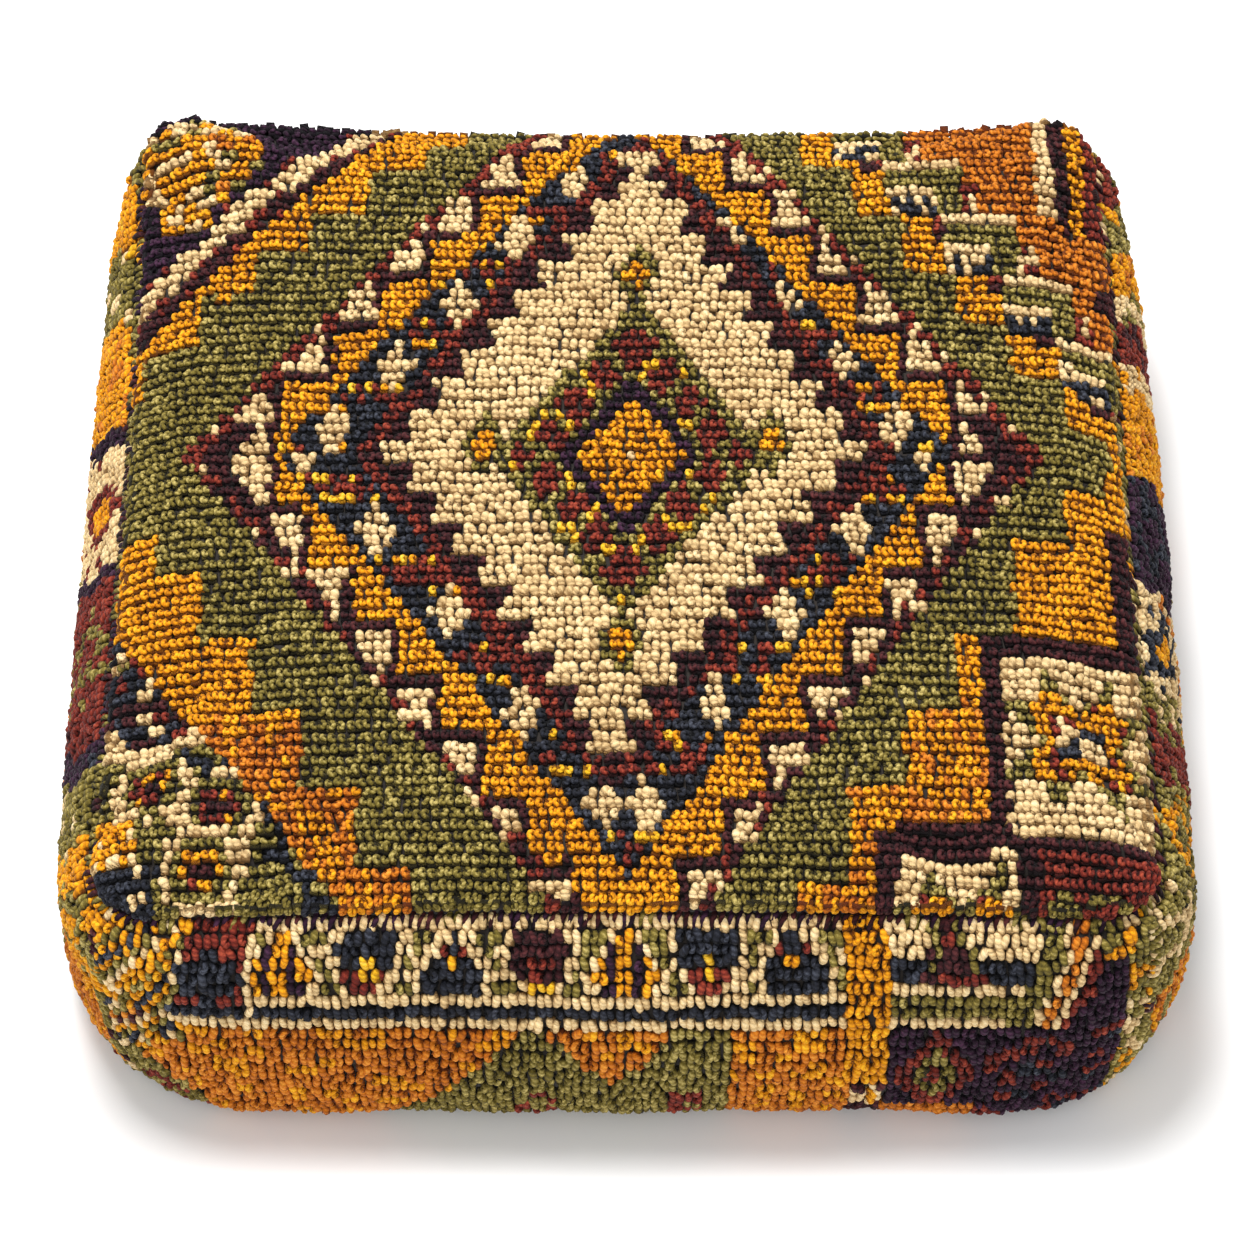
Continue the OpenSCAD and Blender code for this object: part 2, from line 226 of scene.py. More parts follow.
# Levels of the side, from the top seam down: half width, height, corner radius
_b = BULGE
LEVELS = np.array([
    (HALF - 0.0010, SEAM_Z, CORNER_R),
    (HALF + 0.36 * _b, SEAM_Z - 0.0080, 0.048),
    (HALF + 0.68 * _b, SEAM_Z - 0.0240, 0.064),
    (HALF + 0.95 * _b, SEAM_Z - 0.0510, 0.088),
    (HALF + 1.06 * _b, SEAM_Z - 0.0860, 0.1035),
    (HALF + 1.06 * _b, 0.0500, 0.1105),
    (HALF + 0.93 * _b, 0.0200, 0.119),
    (HALF + 0.56 * _b, 0.0060, 0.103),
    (HALF + 0.08 * _b, 0.0028, 0.094),
])


def smooth_levels(levels, n=400):
    """A Catmull-Rom line through the levels, by distance along the cloth."""
    p = np.vstack([2 * levels[0] - levels[1], levels, 2 * levels[-1] - levels[-2]])
    out = []
    for i in range(len(levels) - 1):
        t = np.linspace(0, 1, n // (len(levels) - 1), endpoint=False)[:, None]
        a, b, c, d = p[i], p[i + 1], p[i + 2], p[i + 3]
        out.append(0.5 * (2 * b + (c - a) * t + (2 * a - 5 * b + 4 * c - d) * t ** 2
                          + (3 * b - a - 3 * c + d) * t ** 3))
    line = np.vstack(out + [levels[-1:]])
    s = np.concatenate([[0], np.cumsum(np.hypot(*np.diff(line[:, :2], axis=0).T))])
    return line, s


side_line, side_s = smooth_levels(LEVELS)
SIDE_LEN = side_s[-1]


def band_point(share, down):
    """The side's surface, a share of the way round and a distance down the cloth from the top seam."""
    half, z, radius = (np.interp(down, side_s, side_line[:, i]) for i in range(3))
    x, y, nx, ny, local = outline(share, half, radius)
    pull = PULL * np.cos(math.pi * local) ** 2 * np.clip(1 - down / 0.10, 0, 1) ** 1.5
    around = np.asarray(share) * 2.4
    swell = soft(around, z, 0.15, 0.0012, 5) * np.clip(down / 0.03, 0, 1) * np.clip((SIDE_LEN - down) / 0.03, 0, 1)
    for ear, place_at in ((0.0060, 0.625), (0.0030, 0.375)):
        swell = swell + ear * np.exp(-(((share + 0.5) % 1 - place_at) / 0.035) ** 2) * np.clip(down / 0.09, 0, 1)
    front = np.abs((share + 0.5) % 1 - 0.5) < 0.125
    bow = np.where(front, 0.0031, 0.0) * np.cos(math.pi * local) ** 2
    swell = swell + bow * np.clip((down - 0.03) / 0.08, 0, 1)
    p = np.stack([x + nx * (swell - pull), y + ny * (swell - pull), z + 0 * x], -1)
    return stand_out(p, np.clip(1 - down / 0.13, 0, 1))


# ---- the cover's surface as one closed net, blown up by the filling ----
N = 48
RING = 4 * N
ring_share = -0.125 + np.arange(RING) / RING
TOP_DEPTHS = [0.0, 0.004, 0.009, 0.015, 0.022, 0.030, 0.039, 0.049, 0.061]
BAND_STEPS = 22


def ring_of_square(n):
    """Places in an (n+1) x (n+1) net of its edge, in the order of the rings."""
    i = np.arange(n)
    x = np.concatenate([i, np.full(n, n), n - i, np.zeros(n, int)])
    y = np.concatenate([np.zeros(n, int), i, np.full(n, n), n - i])
    return y * (n + 1) + x


def net():
    """Points and faces of the closed form, with the part that each face is of, and the ring at the seam."""
    points, faces, part = [], [], []

    def add(p):
        points.append(p)
        return sum(len(q) for q in points) - len(p) + np.arange(len(p))

    def join(a, b, name):
        for i in range(RING):
            j = (i + 1) % RING
            faces.append((a[i], b[i], b[j], a[j]))
            part.append(name)

    def patch(edge, make, up, name):
        """A square net that fills the ring called edge."""
        inner = make()
        index = np.empty((N + 1) ** 2, int)
        on_edge = ring_of_square(N)
        index[on_edge] = edge
        rest = np.setdiff1d(np.arange((N + 1) ** 2), on_edge)
        index[rest] = add(inner[rest])
        index = index.reshape(N + 1, N + 1)
        for y in range(N):
            for x in range(N):
                f = (index[y, x], index[y, x + 1], index[y + 1, x + 1], index[y + 1, x])
                faces.append(f if up else f[::-1])
                part.append(name)

    top_rings = []
    for d in TOP_DEPTHS:
        x, y, *_ = outline(ring_share, FLAT_HALF - d, max(FLAT_R - d, 1e-6))
        top_rings.append(add(top_point(x, y)))
    for a, b in zip(top_rings, top_rings[1:]):
        join(b, a, "top")
    side = [top_rings[0]]
    for k in range(1, BAND_STEPS + 1):
        side.append(add(band_point(ring_share, np.full(RING, SIDE_LEN * k / BAND_STEPS))))
    quarter = ((ring_share + 0.125) * 4).astype(int) % 4
    for a, b in zip(side, side[1:]):
        for i in range(RING):
            j = (i + 1) % RING
            faces.append((a[i], b[i], b[j], a[j]))
            part.append(("front", "right", "back", "left")[quarter[i]])
    inner = FLAT_HALF - TOP_DEPTHS[-1]
    gx, gy = np.meshgrid(np.linspace(-inner, inner, N + 1), np.linspace(-inner, inner, N + 1))
    patch(top_rings[-1], lambda: top_point(gx.ravel(), gy.ravel()), True, "top")
    last, low = side[-1], LEVELS[-1]
    for inset, radius in ((0.02, 0.066), (0.05, 0.036), (0.086, 1e-6)):
        x, y, *_ = outline(ring_share, low[0] - inset, radius)
        ring = add(np.stack([x, y, np.full(RING, low[1])], -1))
        join(last, ring, "base")
        last = ring
    inner = low[0] - 0.086
    gx, gy = np.meshgrid(np.linspace(-inner, inner, N + 1), np.linspace(-inner, inner, N + 1))
    patch(last, lambda: np.stack([gx.ravel(), gy.ravel(), np.full(gx.size, low[1])], -1), False, "base")
    return np.vstack(points), faces, np.array(part), top_rings[0]


def mesh_from(name, points, faces):
    """A mesh from arrays. faces is one array of equal faces, or a list of them."""
    mesh = bpy.data.meshes.new(name)
    groups = [np.asarray(f, np.int32) for f in (faces if isinstance(faces, list) else [faces])]
    mesh.vertices.add(len(points))
    mesh.vertices.foreach_set("co", np.asarray(points, np.float32).ravel())
    corners = np.concatenate([g.ravel() for g in groups])
    sizes = np.concatenate([np.full(len(g), g.shape[1], np.int32) for g in groups])
    mesh.loops.add(len(corners))
    mesh.loops.foreach_set("vertex_index", corners)
    mesh.polygons.add(len(sizes))
    mesh.polygons.foreach_set("loop_start", np.concatenate([[0], np.cumsum(sizes)[:-1]]).astype(np.int32))
    mesh.polygons.foreach_set("use_smooth", np.ones(len(sizes), bool))
    mesh.update(calc_edges=True)
    return mesh


def place(name, mesh, body="cushion"):
    obj = bpy.data.objects.new(name, mesh)
    bpy.context.scene.collection.objects.link(obj)
    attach(obj, body)
    return obj


def inflate(points, faces, held, cap=0.007):
    """Cloth with pressure inside, held at the seams. Returns how far each point moves."""
    mesh = mesh_from("swell", points, np.array(faces))
    obj = bpy.data.objects.new("swell", mesh)
    bpy.context.scene.collection.objects.link(obj)
    group = obj.vertex_groups.new(name="held")
    group.add([int(i) for i in held], 1.0, "REPLACE")
    cloth = obj.modifiers.new("cloth", "CLOTH")
    s = cloth.settings
    s.quality, s.mass = 6, 0.5
    s.tension_stiffness = s.compression_stiffness = 25
    s.shear_stiffness, s.bending_stiffness = 12, 6
    s.use_pressure, s.uniform_pressure_force = True, 4
    s.vertex_group_mass = "held"
    s.effector_weights.gravity = 0
    cloth.collision_settings.use_collision = False
    scene = bpy.context.scene
    for f in range(1, 21):
        scene.frame_set(f)
    e = obj.evaluated_get(bpy.context.evaluated_depsgraph_get())
    moved = np.empty(len(points) * 3, np.float32)
    e.data.vertices.foreach_get("co", moved)
    moved = moved.reshape(-1, 3) - points
    scene.frame_set(1)
    bpy.data.objects.remove(obj)
    size = np.linalg.norm(moved, axis=1, keepdims=True)
    return moved * np.minimum(1, cap / np.maximum(size, 1e-9))


net_points, net_faces, net_part, seam_ring = net()
base_points = np.unique(np.array([f for f, p in zip(net_faces, net_part) if p == "base"]))
swell = inflate(net_points, net_faces, np.union1d(seam_ring, base_points))
print("swell mm: mean", round(float(np.linalg.norm(swell, axis=1).mean() * 1000), 2),
      "max", round(float(np.linalg.norm(swell, axis=1).max() * 1000), 2))
swell_tree = KDTree(len(net_points))
for i, p in enumerate(net_points):
    swell_tree.insert(p, i)
swell_tree.balance()


def swelled(points):
    """Surface points, moved as the cloth near them moved."""
    out = np.array(points, float)
    for i, p in enumerate(out):
        near = swell_tree.find_n(p, 4)
        w = np.array([1 / (n[2] + 1e-4) ** 2 for n in near])
        out[i] = p + (w[:, None] * swell[[n[1] for n in near]]).sum(0) / w.sum()
    return out


# ---- colours of the yarns ----
def linear(rgb):
    c = np.array(rgb, float) / 255
    return tuple(np.where(c <= 0.04045, c / 12.92, ((c + 0.055) / 1.055) ** 2.4)) + (1.0,)


# Each yarn in three colours from darkest to lightest; the darkest is reached mostly through the painted shade down in
# the pile
YARNS = {
    "olive": ((30, 26, 10), (119, 104, 42), (200, 180, 108)),
    "golden": ((100, 50, 2), (226, 145, 8), (252, 192, 40)),
    "rust": ((100, 42, 6), (198, 110, 20), (236, 156, 56)),
    "cream": ((132, 98, 56), (224, 192, 138), (248, 226, 180)),
    "brown": ((14, 4, 7), (54, 20, 24), (96, 46, 46)),
    "purple": ((10, 4, 12), (40, 18, 36), (78, 44, 70)),
    "navy": ((7, 7, 11), (32, 34, 43), (76, 80, 92)),
    "red": ((34, 7, 6), (112, 36, 26), (170, 74, 50)),
    "yellow": ((140, 88, 4), (232, 176, 26), (252, 208, 76)),
}
NAMES = list(YARNS)
OLIVE, GOLDEN, RUST, CREAM, BROWN, PURPLE, NAVY, RED, YELLOW = range(9)


def new_material(name):
    material = bpy.data.materials.new(name)
    material.use_nodes = True
    nodes, links = material.node_tree.nodes, material.node_tree.links
    return material, nodes, links, nodes["Principled BSDF"]


def node(nodes, kind, **values):
    n = nodes.new(kind)
    for key, value in values.items():
        if key in n.inputs:
            n.inputs[key].default_value = value
        else:
            setattr(n, key, value)
    return n


def maths(nodes, links, how, a, b=None):
    n = nodes.new("ShaderNodeMath")
    n.operation = how
    for i, v in enumerate((a, b)):
        if v is None:
            continue
        if isinstance(v, (int, float)):
            n.inputs[i].default_value = v
        else:
            links.new(v, n.inputs[i])
    return n.outputs[0]


def ramp(nodes, links, factor, stops):
    n = nodes.new("ShaderNodeValToRGB")
    e = n.color_ramp.elements
    while len(e) < len(stops):
        e.new(0.5)
    for item, (at, colour) in zip(e, stops):
        item.position, item.color = at, colour
    links.new(factor, n.inputs["Fac"])
    return n.outputs["Color"]


def in_object(nodes, links, *textures):
    """Textures fixed to the object."""
    place_in = nodes.new("ShaderNodeTexCoord").outputs["Object"]
    for n in textures:
        links.new(place_in, n.inputs["Vector"])


def raised(nodes, links, shader, height, strength, depth):
    """Fine relief of the surface."""
    bump = node(nodes, "ShaderNodeBump", Strength=strength, Distance=depth)
    links.new(height, bump.inputs["Height"])
    links.new(bump.outputs["Normal"], shader.inputs["Normal"])


def yarn_material(name):
    """Twisted yarn: tone by knot, fibres, two plies along the strand, and painted shade that darkens it down in the
    pile.
    """
    dark_and_shade, mid, light = (linear(c) for c in YARNS[name])
    material, nodes, links, shader = new_material("yarn_" + name)
    fibre = node(nodes, "ShaderNodeTexNoise", Scale=1300.0, Detail=3.0)
    patchy = node(nodes, "ShaderNodeTexNoise", Scale=11.0, Detail=3.0)
    in_object(nodes, links, fibre, patchy)
    tone = node(nodes, "ShaderNodeAttribute", attribute_name="tone").outputs["Fac"]
    deep = node(nodes, "ShaderNodeAttribute", attribute_name="deep").outputs["Fac"]
    strand = node(nodes, "ShaderNodeUVMap", uv_map="Strand")
    split = nodes.new("ShaderNodeSeparateXYZ")
    links.new(strand.outputs["UV"], split.inputs["Vector"])
    twist = maths(nodes, links, "ADD", maths(nodes, links, "MULTIPLY", split.outputs["X"], 2 * TAU),
                  maths(nodes, links, "MULTIPLY", split.outputs["Y"], 4.2 * TAU))
    ply = maths(nodes, links, "SINE", twist)
    mix = maths(nodes, links, "MULTIPLY", tone, 0.42)
    # painted shade: the yarn is pulled towards its darkest colour the lower it lies in the pile
    for how, part, weight in (("ADD", fibre.outputs["Fac"], 0.62), ("ADD", patchy.outputs["Fac"], 0.35),
                              ("ADD", ply, 0.11), ("SUBTRACT", deep, 0.74)):
        mix = maths(nodes, links, how, mix, maths(nodes, links, "MULTIPLY", part, weight))
    colour = ramp(nodes, links, mix, [(0.10, dark_and_shade), (0.62, mid), (1.0, light)])
    links.new(colour, shader.inputs["Base Color"])
    rough = node(nodes, "ShaderNodeMapRange", **{"To Min": 0.62, "To Max": 0.92})
    links.new(fibre.outputs["Fac"], rough.inputs["Value"])
    links.new(rough.outputs["Result"], shader.inputs["Roughness"])
    height = maths(nodes, links, "ADD", maths(nodes, links, "MULTIPLY", ply, 0.55), fibre.outputs["Fac"])
    raised(nodes, links, shader, height, 0.9, 0.0007)
    shader.inputs["Specular IOR Level"].default_value = 0.16
    shader.inputs["Sheen Weight"].default_value = 0.025
    shader.inputs["Sheen Roughness"].default_value = 0.45
    return material


def cloth_material(name, base, light, scale, bump_depth=0.0003):
    """Plain weave from crossed waves fixed to the object."""
    material, nodes, links, shader = new_material(name)
    height = None
    for axis in ("X", "Y", "Z"):
        wave = node(nodes, "ShaderNodeTexWave", bands_direction=axis, Scale=scale, Distortion=0.4)
        wave.inputs["Detail Scale"].default_value = 3.0
        in_object(nodes, links, wave)
        height = wave.outputs["Fac"] if height is None else maths(nodes, links, "MAXIMUM", height, wave.outputs["Fac"])
    slub = node(nodes, "ShaderNodeTexNoise", Scale=60.0, Detail=6.0)
    in_object(nodes, links, slub)
    mix = maths(nodes, links, "ADD", maths(nodes, links, "MULTIPLY", height, 0.5),
                maths(nodes, links, "MULTIPLY", slub.outputs["Fac"], 0.6))
    links.new(ramp(nodes, links, mix, [(0.2, linear(base)), (0.9, linear(light))]), shader.inputs["Base Color"])
    raised(nodes, links, shader, height, 0.7, bump_depth)
    shader.inputs["Roughness"].default_value = 0.88
    shader.inputs["Sheen Weight"].default_value = 0.2
    return material


# ---- the pattern ----
# A chart takes places in columns and rows from the pattern's middle and gives the yarn at each.
def scatter(a, b, seed):
    """The same chance number from 0 to 1 for the same whole a and b."""
    v = np.sin(np.round(a) * 12.9898 + np.round(b) * 78.233 + seed * 37.719) * 43758.5453
    return v - np.floor(v)


def put(chart, where, value):
    """Sets the chosen places of a chart."""
    np.copyto(chart, value, where=where)


def star(dx, dy, reach):
    """Eight-pointed star with olive points round a golden ring: yarn, or -1 outside it."""
    a, b = np.abs(dx) / 1.4, np.abs(dy)
    less, more = np.minimum(a, b), np.maximum(a, b)
    chance = scatter(dx, dy, 2)
    out = np.where((less < 0.56 * reach) & (more - less < 0.56 * reach), GOLDEN, -1)
    put(out, (out >= 0) & (chance < 0.26), RED)
    put(out, (out >= 0) & ((more > 0.68 * reach) | (more - less > 0.45 * reach)), OLIVE)
    put(out, more < 0.32 * reach, CREAM)
    return np.where((more < 0.32 * reach) & (np.abs(dx / 1.4 + dy) < 0.9) & (more > 0.6), NAVY, out)


def mixed(a, b, seed, yarns, shares):
    """Motley ground: small runs of two or three knots in chance yarns."""
    n = scatter(np.floor(a / 2 + 0.5 * (np.floor(b) % 2)), np.floor(b), seed)
    edges = np.cumsum(shares)
    return np.array(yarns)[np.minimum(np.searchsorted(edges, n), len(yarns) - 1)]


def top_chart(x, y):
    """Yarns of the top by place in metres."""
    y0 = 0.017
    row = (y0 - y) / ROW
    r = np.abs(row)
    upper = row < 0
    mid_in = (x - 0.0030 - 0.037 * (y - y0)) / COLUMN
    mid_out = (x + 0.0075 - 0.00025 * r) / COLUMN
    a, c = np.abs(mid_out), np.abs(mid_in + 0.6)
    k = x / COLUMN

    def chance(seed):
        return scatter(k, row, seed)

    out = np.full(x.shape, OLIVE)
    slope = np.where(upper, 1.12, 1.05)
    s = a + slope * r
    field = np.where(upper, 51.6, 50.4)

    # stair fields outside the olive ground, one to each corner
    left = mid_out < 0
    # back left: striped corner and bush
    i = np.floor((row + 30) / 4.5)
    stair = np.where(row < -33, 19.5, 31.8 + 6.7 * i)
    edge = 41.6 + 1.36 * (row + 25.5)
    kk = -k
    zone = upper & left & (kk > stair)
    v = np.where(kk < edge, GOLDEN, BROWN)
    put(v, (kk >= edge) & (chance(11) < 0.10), RED)
    step = np.floor((row + 31.5) / 4.4)
    stripe = 38.4 + 6.8 * step + 1.2 * ((row + 31.5) - 4.4 * step)
    put(v, kk > stripe - 2.2, CREAM)
    put(v, (kk > stripe - 3.2) & (kk <= stripe - 2.2) & (chance(12) < 0.5), RED)
    put(v, kk > stripe + 1.8, PURPLE)
    put(v, (kk > stripe + 1.8) & (kk < stripe + 3.0) & (chance(13) < 0.4), RED)
    bush = ((kk - 53.5) / 8.5) ** 2 + (np.clip(row + 31.5, -9, 9) / 5.2) ** 2 < 1
    bush |= (np.abs(kk - 54.5 + 0.3 * (row + 27)) < 3.2) & (row > -30) & (row < -24)
    put(v, bush, mixed(k, row, 3, [GOLDEN, CREAM, YELLOW, OLIVE, RUST], [0.42, 0.28, 0.08, 0.16, 0.06]))
    put(out, zone, v)
    # back right: hooked arms and a post
    i = np.floor((row + 30) / 5.4)
    stair = np.where(row < -30, 22.2, 28.5 + 6.0 * i)
    phase = (row + 30) / 5.4 - i
    wide = np.where(phase < 0.45, 3.6, 7.4)
    zone = upper & ~left & (k > stair)
    q = k - stair
    v = np.where(q < wide, GOLDEN, BROWN)
    put(v, (q >= wide) & (chance(14) < 0.3), RED)
    j = np.floor((row + 31) / 6)
    w = row + 31 - 6 * j
    xi = 32.5 + 6.7 * j
    arm, post = (k > xi) & (k < xi + 9.2), (k > xi + 6.0) & (k < xi + 9.2)
    put(v, arm & (w < 1), CREAM)
    put(v, arm & (w >= 1) & (w < 3), OLIVE)
    put(v, arm & (w >= 3) & (w < 4) & ~post, CREAM)
    put(v, post & (w >= 3), OLIVE)
    put(v, arm & ~post & (w >= 4), np.where(chance(15) < 0.6, NAVY, CREAM))
    far_side = np.where(w < 3, xi + 9.2, xi + 11.2)
    put(v, (k > xi + 9.2) & (k <= far_side), np.where(chance(16) < 0.7, RED, CREAM))
    put(v, k > far_side, RUST)
    hook = (np.abs((k - 46) % 9 - 4) < 1.2) & (np.abs((row + 30) % 7 - 5) < 1) & (k > far_side + 1.5)
    put(v, hook & (row > -24), BROWN)
    post_zone = (row < -24.5) & (k > 51)
    put(v, post_zone, np.select([k < 53.2, k < 55.4, k < 57.4], [CREAM, BROWN, GOLDEN], RED))
    put(out, zone, v)
    # front left: motley boxes with a lozenge in each
    i = np.floor((row - 10.3) / 6.6)
    stair = np.where(row < 6.3, 70, np.where(row < 10.3, 54.8, 49.3 - 6.35 * np.clip(i, 0, 9)))
    zone = ~upper & left & (kk > stair)
    beyond = kk >= 56.5 - 1.15 * (row - 18)
    v = np.where(beyond, OLIVE, GOLDEN)
    put(v, ~beyond & (row > 24), RUST)
    put(v, ~beyond & (row > 24) & (chance(18) < 0.35), GOLDEN)
    box = mixed(k, row, 21, [OLIVE, CREAM, NAVY, RED, YELLOW], [0.44, 0.24, 0.16, 0.11, 0.05])
    put(v, beyond, box)
    put(v, beyond & (row > 18.5) & (row < 25), mixed(k, row, 22, [NAVY, BROWN, RED, CREAM], [0.4, 0.22, 0.2, 0.18]))
    put(v, beyond & (row > 25) & (row < 26.7), CREAM)
    lower = beyond & (row > 26.2)
    put(v, lower, np.where(chance(26) < 0.16, CREAM, OLIVE))
    put(v, lower & (kk < 60.5 - 1.15 * (row - 18)), np.where(chance(27) < 0.6, NAVY, OLIVE))
    put(v, lower & (kk > 55) & (row > 32) & (row < 36), np.where(chance(23) < 0.75, GOLDEN, CREAM))
    put(v, lower & (kk > 52.5) & (row >= 36), np.where(chance(24) < 0.8, NAVY, CREAM))
    for pk, pr in ((53.6, 29.6), (45.6, 31.8), (47.4, 36.6)):
        dx, dy = np.abs(kk - pk) / 1.5, np.abs(row - pr)
        far = np.maximum(dx, dy) + 0.35 * np.minimum(dx, dy)
        put(v, lower & (far < 3.4), CREAM)
        put(v, lower & (far < 2.5), OLIVE)
        put(v, lower & (far < 1.6), np.where(chance(28) < 0.7, RED, GOLDEN))
        put(v, lower & (far < 0.8), BROWN)
    put(out, zone, v)
    # front right: cream squares with stars
    i = np.select([row < 2.6, row < 7.7, row < 16.3, row < 23.1, row < 30.5, row < 37.4], range(6), 6)
    stair = np.array([57.7, 51.8, 45.3, 38.4, 31.8, 25.2, 19.0])[i]
    zone = ~upper & ~left & (k > stair)
    v = np.full(x.shape, GOLDEN)
    put(v, (row > 22) & (chance(19) < 0.3), RUST)
    brown = (k > 57) & (row > 5.8)
    brown |= (row > 16.6) & (k > 40.9)
    brown |= (row > 33.2) & (k > 27.9)
    put(v, brown, BROWN)
    square = (k > 43.4) & (row > 18.6) & (row < 34.2)
    put(v, square, CREAM)
    points = star(k - 52, row - 25.9, 5.9)
    put(v, square & (points >= 0), points)
    brick = (k > 46.5) & (row > 35.6)
    put(v, brick, np.where(row > 38.3, mixed(k, row, 25, [OLIVE, RED], [0.6, 0.4]), RED))
    square = (k > 30.4) & (k < 44) & (row > 35.4)
    put(v, square, CREAM)
    points = star(k - 38, row - 42.6, 5.9)
    put(v, square & (points >= 0), points)
    put(out, zone, v)
    strip = ~upper & (k > 57.3) & (row < 5.8)
    put(out, strip, GOLDEN)

    # brown band with cream hooks, and the line of red on its outside
    inside = s < field
    put(out, inside, BROWN)
    line = inside & (s > field - 2.6)
    put(out, line, np.where(upper | (chance(31) < 0.4), RED, BROWN))
    speck = line & (s > field - 1.3) & (np.abs(row % 3.4) < 1)
    put(out, speck & (chance(32) < 0.75), CREAM)
    block = np.where(upper, np.floor((row + 32) / 4.8), np.floor((row - 4.9) / 5.2))
    start = np.where(upper, -32 + 4.8 * block, 4.9 + 5.2 * block)
    edge = np.where(upper, 12.5 + 5.4 * block, np.where(block < 0, 39.8, 35.6 - 4.95 * block))
    put(edge, upper & (block > 4.5), 40.0)
    w = np.where(upper, 4.8 - (row - start), row - start)
    gap = a - edge
    arm = np.select([w < 0.9, w < 1.9, w < 2.9, w < 3.9], [0, 4.4, 3.4, 2.4], 1.4)
    start_x = np.select([w < 1.9, w < 2.9], [0.7, 1.0], 1.2)
    hook = (gap > start_x) & (gap < start_x + arm) & (s < field - 1.5)
    put(out, inside & hook, CREAM)

    # orange blocks
    inner = np.where(upper, 41.0, 39.6)
    put(out, inside & (a < edge), GOLDEN)
    # navy band with cream flowers and red patches
    band = s < inner
    put(out, band, NAVY)
    t = s - (inner - 4.0)
    at = np.where(upper, (r + 3.2) / 6.25, (r + 1.0) / 8.15)
    near = at - np.round(at)
    along = near * np.where(upper, 6.25, 8.15)
    flower_row = np.round(along)
    centre = a - (inner - 4.0 - slope * (r - along))
    off = np.abs(flower_row)
    size = np.select([off < 0.5, off < 1.5, off < 2.5], [2.4, 1.4, 0.7], 0)
    red_patch = (np.abs(np.abs(near) - 0.5) < 0.17) & (np.abs(t + 0.6) < 3.6)
    put(out, band & red_patch, np.where(chance(33) < 0.72, RED, NAVY))
    dots = band & (np.abs(np.abs(near) - 0.34) < 0.07) & (np.abs(t) < 4.2) & (chance(34) < 0.42)
    put(out, dots, YELLOW)
    put(out, dots & (chance(35) < 0.35), GOLDEN)
    flower = band & (np.abs(centre) < size) & (off < 2.5) & (r < 34)
    put(out, flower, CREAM)
    # line of red inside it, then brown up to the cream
    tips = np.where(upper, 31.0 - 0.93 * r, 30.2 - 1.02 * r)
    put(out, c < tips + 1.6, RED)
    put(out, (c < tips + 1.6) & (chance(36) < 0.25), BROWN)
    put(out, c < tips - 0.6, BROWN)
    # cream field with stepped edges
    tooth = np.where(upper, np.ceil(-(row + 1.5) / 3.1), np.ceil((row - 0.5) / 3.05))
    tooth = np.where(upper, np.clip(tooth, 0, 9), np.clip(tooth, 0, 8))
    into = np.where(upper, (row + 1.5) + 3.1 * tooth, 3.05 * tooth + 0.5 - row)
    width = np.where(upper, 29.2 - 2.85 * tooth, 28.6 - 2.95 * tooth) - 0.45 * into
    put(width, upper & (row < -28.3), np.select([row > -30.6, row > -31.8], [0.9, 2.2], 3.4))
    put(width, ~upper & (row > 24.4), np.select([row < 26.6], [1.9], 3.2))
    put(width, (row < -32.6) | (row > 27.4), -1)
    put(out, c < width, CREAM)
    # small green diamonds at its four points
    for px, py in ((0, -18.4), (0, 17.6), (-17.4, -1.2), (16.6, -1.2)):
        dx, dy = np.abs(mid_in - px), np.abs(row - py)
        put(out, dx / 3.1 + dy / 3.4 < 1, OLIVE)
        put(out, dx + dy * 1.1 < 1.9, GOLDEN)
    # lozenge
    c = np.abs(mid_in)
    d = c / 16.6 + r / 15.7
    put(out, d < 1, OLIVE)
    t = (c / 16.6 - r / 15.7 + 1.0) / 0.36
    cluster = (np.abs(t - np.round(t)) < 0.33) & (np.abs(d - 0.71) < 0.155)
    put(out, cluster, RED)
    spots = (d < 0.90) & (d > 0.54) & ~cluster & (chance(37) < 0.24)
    put(out, spots, YELLOW)
    put(out, d < 0.50, PURPLE)
    put(out, d < 0.385, GOLDEN)
    put(out, (c < 0.8) & (r < 0.8), CREAM)
    return out


def side_ground(s, row, seed):
    """Lower half of a side: burnt orange fields parted by olive triangles that widen downwards."""
    out = np.where(scatter(s, row, seed) < 0.25, GOLDEN, RUST)
    period = ((s + 12) % 36) - 18
    wide = np.where(((s + 12) // 36) % 2 == 0, 3 + 1.5 * (row - 9), 6 + 0.6 * (row - 9))
    put(out, np.abs(period) < wide, OLIVE)
    put(out, (np.abs(period) < wide - 4) & (scatter(s, row, seed + 1) < 0.35), RED)
    return out


